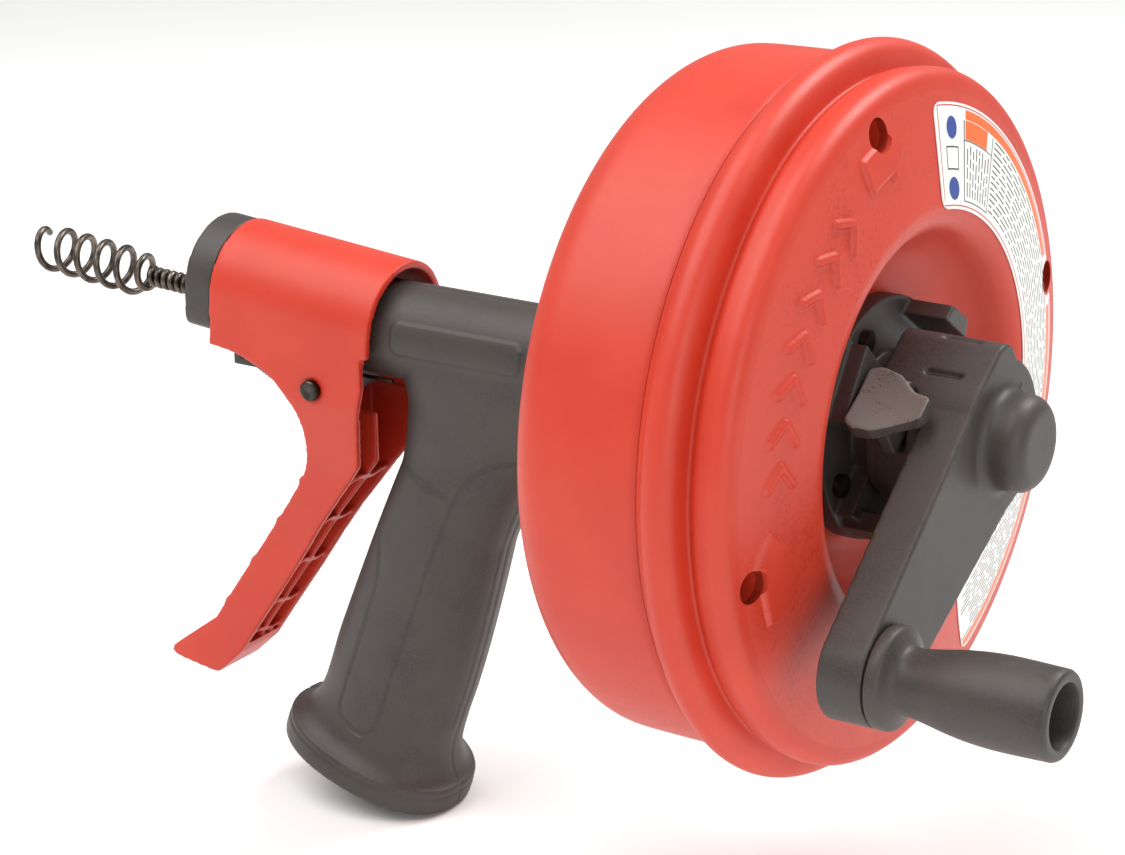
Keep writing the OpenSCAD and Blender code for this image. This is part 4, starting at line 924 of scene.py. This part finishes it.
def makeTrigger():
    v = trigger
    x0, x1, r, z = v["shellX"], v["shellEnd"], v["shellR"], v["shellZ"]
    outline = [(x + v["pinX"], zz) for x, zz in v["outline"]]
    bow = curveThrough(outline[1:12], 6)  # the finger's side is one long curve
    soft = outline[:1] + [tuple(p) for p in bow[:-1]] + rounded(outline[11:16], 3.0, 4)[5:-5] + outline[15:]
    front = lambda t: [(w - t, zz) for w, zz in v["front"]] + [(t - w, zz) for w, zz in reversed(v["front"])]
    shell = rod("trigger", r, x0, x1, "x", (0, z), 128)
    skirt = block("skirt", (x0 + 0.02, 0.03 - r, z - 6), (x1 - 0.02, r - 0.03, z - 0.7))  # clear of the tangent
    noseUp(shell), noseUp(skirt)
    lever = prism("lever", soft, 0.05 - r, r - 0.05, "y")
    boolean(lever, prism("leverFront", front(0), v["pinX"] - 70, v["pinX"] + 20, "x"), "INTERSECT")
    hollow = rod("hollow", v["shellIn"], x0 - 1, x1 + 1, "x", (0, z), 128)
    mouth = block("mouth", (x0 - 1.1, 0.03 - v["shellIn"], z - 14), (x1 + 1.1, v["shellIn"] - 0.03, z - 0.7))
    noseUp(hollow), noseUp(mouth)
    throat = block("throat", (x0 - 4, 0.06 - v["shellIn"], v["pinZ"] - 7.3),
                   (v["pinX"] + 30, v["shellIn"] - 0.06, -0.9))
    pocket = prism("pocket", [(x + 3.2, zz) for x, zz in outline], -r, r, "y")
    boolean(pocket, prism("pocketFront", front(v["wall"]), v["pinX"] - 70, v["pinX"] + 30, "x"), "INTERSECT")
    boolean(pocket, block("pocketTop", (v["pinX"] - 70, -r, -105.5), (v["pinX"] + 30, r, 0)), "INTERSECT")
    assembled(shell, [skirt, lever], [hollow, mouth, throat, pocket])
    ribs = prism("middleRib", [(x + 1.6, zz) for x, zz in outline], -0.8, 0.8, "y")
    boolean(ribs, block("ribZone", (v["pinX"] - 70, -r, -107), (v["pinX"] + 9, r, -27)), "INTERSECT")
    cross = []
    for zz in v["ribs"]:  # cross ribs, the middle a little higher than the ends
        rib = loft("crossRib", [[(v["pinX"] - 60, y, level - 0.75), (v["pinX"] + 20, y, level - 0.75),
                                 (v["pinX"] + 20, y, level + 0.75), (v["pinX"] - 60, y, level + 0.75)]
                                for y, level in ((-18, zz - 2.4), (-4, zz + 1.2), (4, zz - 1.2), (18, zz + 2.4))])
        cross.append(rib)
    assembled(ribs, cross)
    boolean(ribs, prism("ribOutline", [(x - 0.9, zz) for x, zz in outline], -r, r, "y"), "INTERSECT")
    boolean(ribs, prism("ribFront", front(1.0), v["pinX"] - 70, v["pinX"] + 20, "x"), "INTERSECT")
    boolean(shell, ribs, "UNION")
    webs = []
    for side in (-1, 1):
        x = -196.0 + side * 9.2
        web = boolean(block("web", (x - 1.2, -9, 6.9), (x + 1.2, 9, 22)),
                      rod("webEnd", r - 0.9, x - 4, x + 4, "x", (0, z), 96), "INTERSECT")
        noseUp(web)
        webs.append(web)
    bores = [rod("pinBore", 2.55, -30, 30, "y", (v["pinX"], v["pinZ"]), 48),
             rod("pinSeat", 3.5, -r - 1, -r + 0.5, "y", (v["pinX"], v["pinZ"]), 48)]
    for y in (-17.4, 17.4):  # small notch in the rear rim at either side
        notch = block("notch", (x1 - 1.6, y - 1.7, -5.2), (x1 + 1, y + 1.7, -3.0))
        noseUp(notch)
        bores.append(notch)
    assembled(shell, webs, bores)
    moulded(shell, v["voxel"], v["rounds"])
    co, no = vertexArray(shell), normalArray(shell)
    side = 1.0 - ease(np.abs(co[:, 2] + 60), 40, 52)
    crown = np.clip(1 - np.abs(co[:, 1]) / 12.0, 0, 1)
    frontFace = (no[:, 0] < -0.5) & (co[:, 2] < -34)
    co[:, 0] -= np.where(frontFace, 0.9 * side * ease(crown, 0, 1), 0)
    setVertices(shell, co)
    finishPiece(shell, redSatin, "trigger", "trigger", slot="red_plastic")


def makeNose():
    v, r = trigger, trigger["shellR"] - 1.0
    arch = ringPoints(r, 60, (0, v["shellZ"] + 0.6), -8, 188, False)
    foot = rounded([arch[-1], (-r * 0.97, -9.2), (r * 0.97, -9.2), arch[0]], 7.0, 8)[9:-9]
    ring = prism("noseRing", arch + foot, -220.2, v["shellX"] - 0.3, "x")
    hole = ringPoints(4.0, 24, (0, 0), 0, 180, False) + ringPoints(4.0, 24, (0, -4.0), 180, 360, False)
    collar = boolean(rod("collar", v["shellIn"] - 0.1, v["shellX"] - 1, v["shellX"] + 3.5, "x", (0, v["shellZ"]), 96),
                     block("collarCut", (v["shellX"] - 2, -20, -30), (v["shellX"] + 4, 20, -1.5)), "DIFFERENCE")
    boolean(collar, rod("collarBore", v["shellIn"] - 2.2, v["shellX"] + 0.2, v["shellX"] + 5, "x", (0, v["shellZ"])),
            "DIFFERENCE")
    assembled(ring, [collar], [prism("cableHole", hole, -225, v["shellX"] + 6, "x")])
    noseUp(ring)
    moulded(ring, 0.42, 5)
    finishPiece(ring, blackNylon, "trigger", "nose_ring", slot="grip_plastic")
    head = moulded(copyOf("feedHead", "feed_head"), 0.5, 4)
    finishPiece(head, blackNylon, "housing", "feed_head", slot="grip_plastic")
    x, z = trigger["pinX"], trigger["pinZ"]
    line = [(-20.4, 0), (-20.4, 2.2), (-20.3, 2.55), (-20.05, 2.9), (-19.7, 3.0), (-18.8, 3.0), (-18.8, 2.5),
            (20.9, 2.5), (21.5, 2.2), (21.8, 1.6), (21.8, 0)]
    pin = spun("triggerPin", line, 64, closed=False)
    turned(Matrix.Translation((x * mm, 0, z * mm)) @ Matrix.Rotation(math.radians(90), 4, "Z"), pin)
    outward(pin)
    smoothFaces(pin, 40)
    finishPiece(pin, blackScrew, "housing", "trigger_pin", slot="pin_steel")


makeTrigger()
makeNose()
print("trigger and nose made")


cable = {"tipX": -246.2, "rearX": -38.0, "radius": 3.175, "wire": 1.03, "pitch": 2.55, "bulbR": 6.2, "bulbPitch": 7.6,
         "tilt": 5.0, "turns": 6.15, "endAngle": 50.0}


def cableLift(x):  # the nose carries the cable a little upwards in front of the rollers
    return 2.0 * float(ease(-x, 200, 250)) + max(0, -x - 246.0) * math.tan(math.radians(cable["tilt"]))


def makeCable():
    v = cable
    startAngle = v["endAngle"] + 360 * v["turns"]
    helixR = v["radius"] - v["wire"]
    path = []
    steps = 20
    for i in range(int(v["turns"] * 28) + 1):
        t = i / 28
        run = max(t - 1, 0) * v["bulbPitch"] + min(t, 1) * 2.6
        r = helixR + (v["bulbR"] - helixR) * float(ease(t, -0.2, 1.6))
        r -= 2.0 * float(ease(t, v["turns"] - 0.3, v["turns"])) ** 2
        a = math.radians(startAngle - 360 * t)
        x = v["tipX"] + 1.5 - run
        path.append((x, r * math.cos(a), r * math.sin(a) + cableLift(x)))
    bulb = smoothFaces(tube("bulbAuger", path, v["wire"], 16), 60)
    finishPiece(bulb, oiledWire, "cable", "bulb_auger", slot="cable_steel")
    path = []
    count = int((v["rearX"] - v["tipX"]) / v["pitch"] * steps)
    for i in range(count):
        t = i / steps
        a = math.radians(startAngle + 360 * t)
        x = v["tipX"] + 1.7 + v["pitch"] * t
        path.append((x, helixR * math.cos(a), helixR * math.sin(a) + cableLift(x)))
    path = [p for p in path if p[0] < v["rearX"] - 1]
    lead = tube("cableLead", path, v["wire"], 8)
    inner = [(v["tipX"] + 2.4 + 6 * k, 0, cableLift(v["tipX"] + 2.4 + 6 * k)) for k in range(34)]
    core = tube("core", inner + [(v["rearX"], 0, 0)], helixR - 0.35, 24)
    lead = smoothFaces(joined("cableLead", [lead, core]), 50)
    finishPiece(lead, oiledWire, "cable", "cable_lead", slot="cable_steel")


makeCable()
print("cable made")


finishes = {
    "housing_screws": zincSteel, "guide_tube": drawnSteel, "lower_axles": zincSteel, "pin_clip": oiledWire,
    "trigger_spring": oiledWire, "thrust_washer": zincSteel, "retaining_ring": oiledWire, "drum_bush": acetal,
    "drum_screws": blackScrew, "drive_shank": drawnSteel, "hub_screws": blackScrew, "cable_coil": oiledWire,
    "cable_inlet": oiledWire, "cable_clip": zincSteel, "upper_axle": zincSteel, "upper_roller": zincSteel,
    "lower_roller_near": zincSteel, "lower_roller_far": zincSteel, "knob_axle": blackScrew, "knob_nut": zincSteel,
    "latch_springs": oiledWire,
}
for node, material in finishes.items():
    obj = cadNodes[node]
    obj.data.materials.clear()
    obj.data.materials.append(material)
print("finishes laid on")


view = {"place": (405.1, -765.5, 296.1), "azimuth": 33.42, "elevation": 19.03, "roll": -0.99, "lens": 112.0}
studio = {"world": 0.46, "floor": "#FFFFFF", "lights": [
    # place and target in millimetres, size, watts, colour
    ("key", (-500, -500, 1200), (-60, 0, 0), 1.6, 20, "#FFFFFF"),
    ("fill", (1000, -700, 350), (-20, 0, 0), 0.7, 3.5, "#FFFFFF"),
    ("back", (300, 700, 1000), (-60, 0, 0), 0.7, 12, "#FFFFFF"),
]}


def makeStudio():
    low = cadBounds[0]
    floor = newMesh("studioFloor", [(-9000, -9000, 0), (9000, -9000, 0), (9000, 9000, 0), (-9000, 9000, 0)],
                    [(0, 1, 2, 3)])
    floor.location.z = low[2] - 0.2 * mm
    material, tree, shader, where = newMaterial("paperBackdrop")
    tone = addNode(tree, "ShaderNodeTexNoise", {"Scale": 3.0, "Detail": 1.0}, {"Vector": where})
    ramp = addNode(tree, "ShaderNodeValToRGB", links={"Fac": tone.outputs["Fac"]})
    ramp.color_ramp.elements[0].color = linearColour("#F4F4F2")
    ramp.color_ramp.elements[1].color = linearColour(studio["floor"])
    tree.links.new(ramp.outputs["Color"], shader.inputs["Base Color"])
    shader.inputs["Roughness"].default_value = 0.9
    floor.data.materials.append(material)
    world = bpy.data.worlds.new("studioAir")
    scene.world = world
    scene.view_settings.view_transform = "Standard"
    world.use_nodes = True
    world.node_tree.nodes["Background"].inputs["Color"].default_value = linearColour("#FFFFFF")
    world.node_tree.nodes["Background"].inputs["Strength"].default_value = studio["world"]
    for name, place, target, size, watts, colour in studio["lights"]:
        lamp = bpy.data.lights.new(name, "AREA")
        lamp.shape = "DISK"
        lamp.size = size
        lamp.energy = watts
        lamp.color = linearColour(colour)[:3]
        obj = bpy.data.objects.new(name, lamp)
        scene.collection.objects.link(obj)
        obj.location = Vector(place) * mm
        obj.rotation_euler = (Vector(target) - Vector(place)).to_track_quat("-Z", "Y").to_euler()


def makeCamera():
    az, el, roll = (math.radians(view[k]) for k in ("azimuth", "elevation", "roll"))
    back = Vector((math.sin(az) * math.cos(el), -math.cos(az) * math.cos(el), math.sin(el)))
    right = (-back).cross(Vector((0, 0, 1))).normalized()
    up = right.cross(-back).normalized()
    r = right * math.cos(roll) + up * math.sin(roll)
    u = up * math.cos(roll) - right * math.sin(roll)
    lens = bpy.data.cameras.new("viewer")
    lens.lens = view["lens"]
    lens.sensor_width = 36.0
    lens.clip_start, lens.clip_end = 0.05, 50.0
    camera = bpy.data.objects.new("viewer", lens)
    scene.collection.objects.link(camera)
    camera.matrix_world = Matrix.Translation(Vector(view["place"]) * mm) @ Matrix((r, u, back)).transposed().to_4x4()
    scene.camera = camera


makeStudio()
makeCamera()
print("studio made")
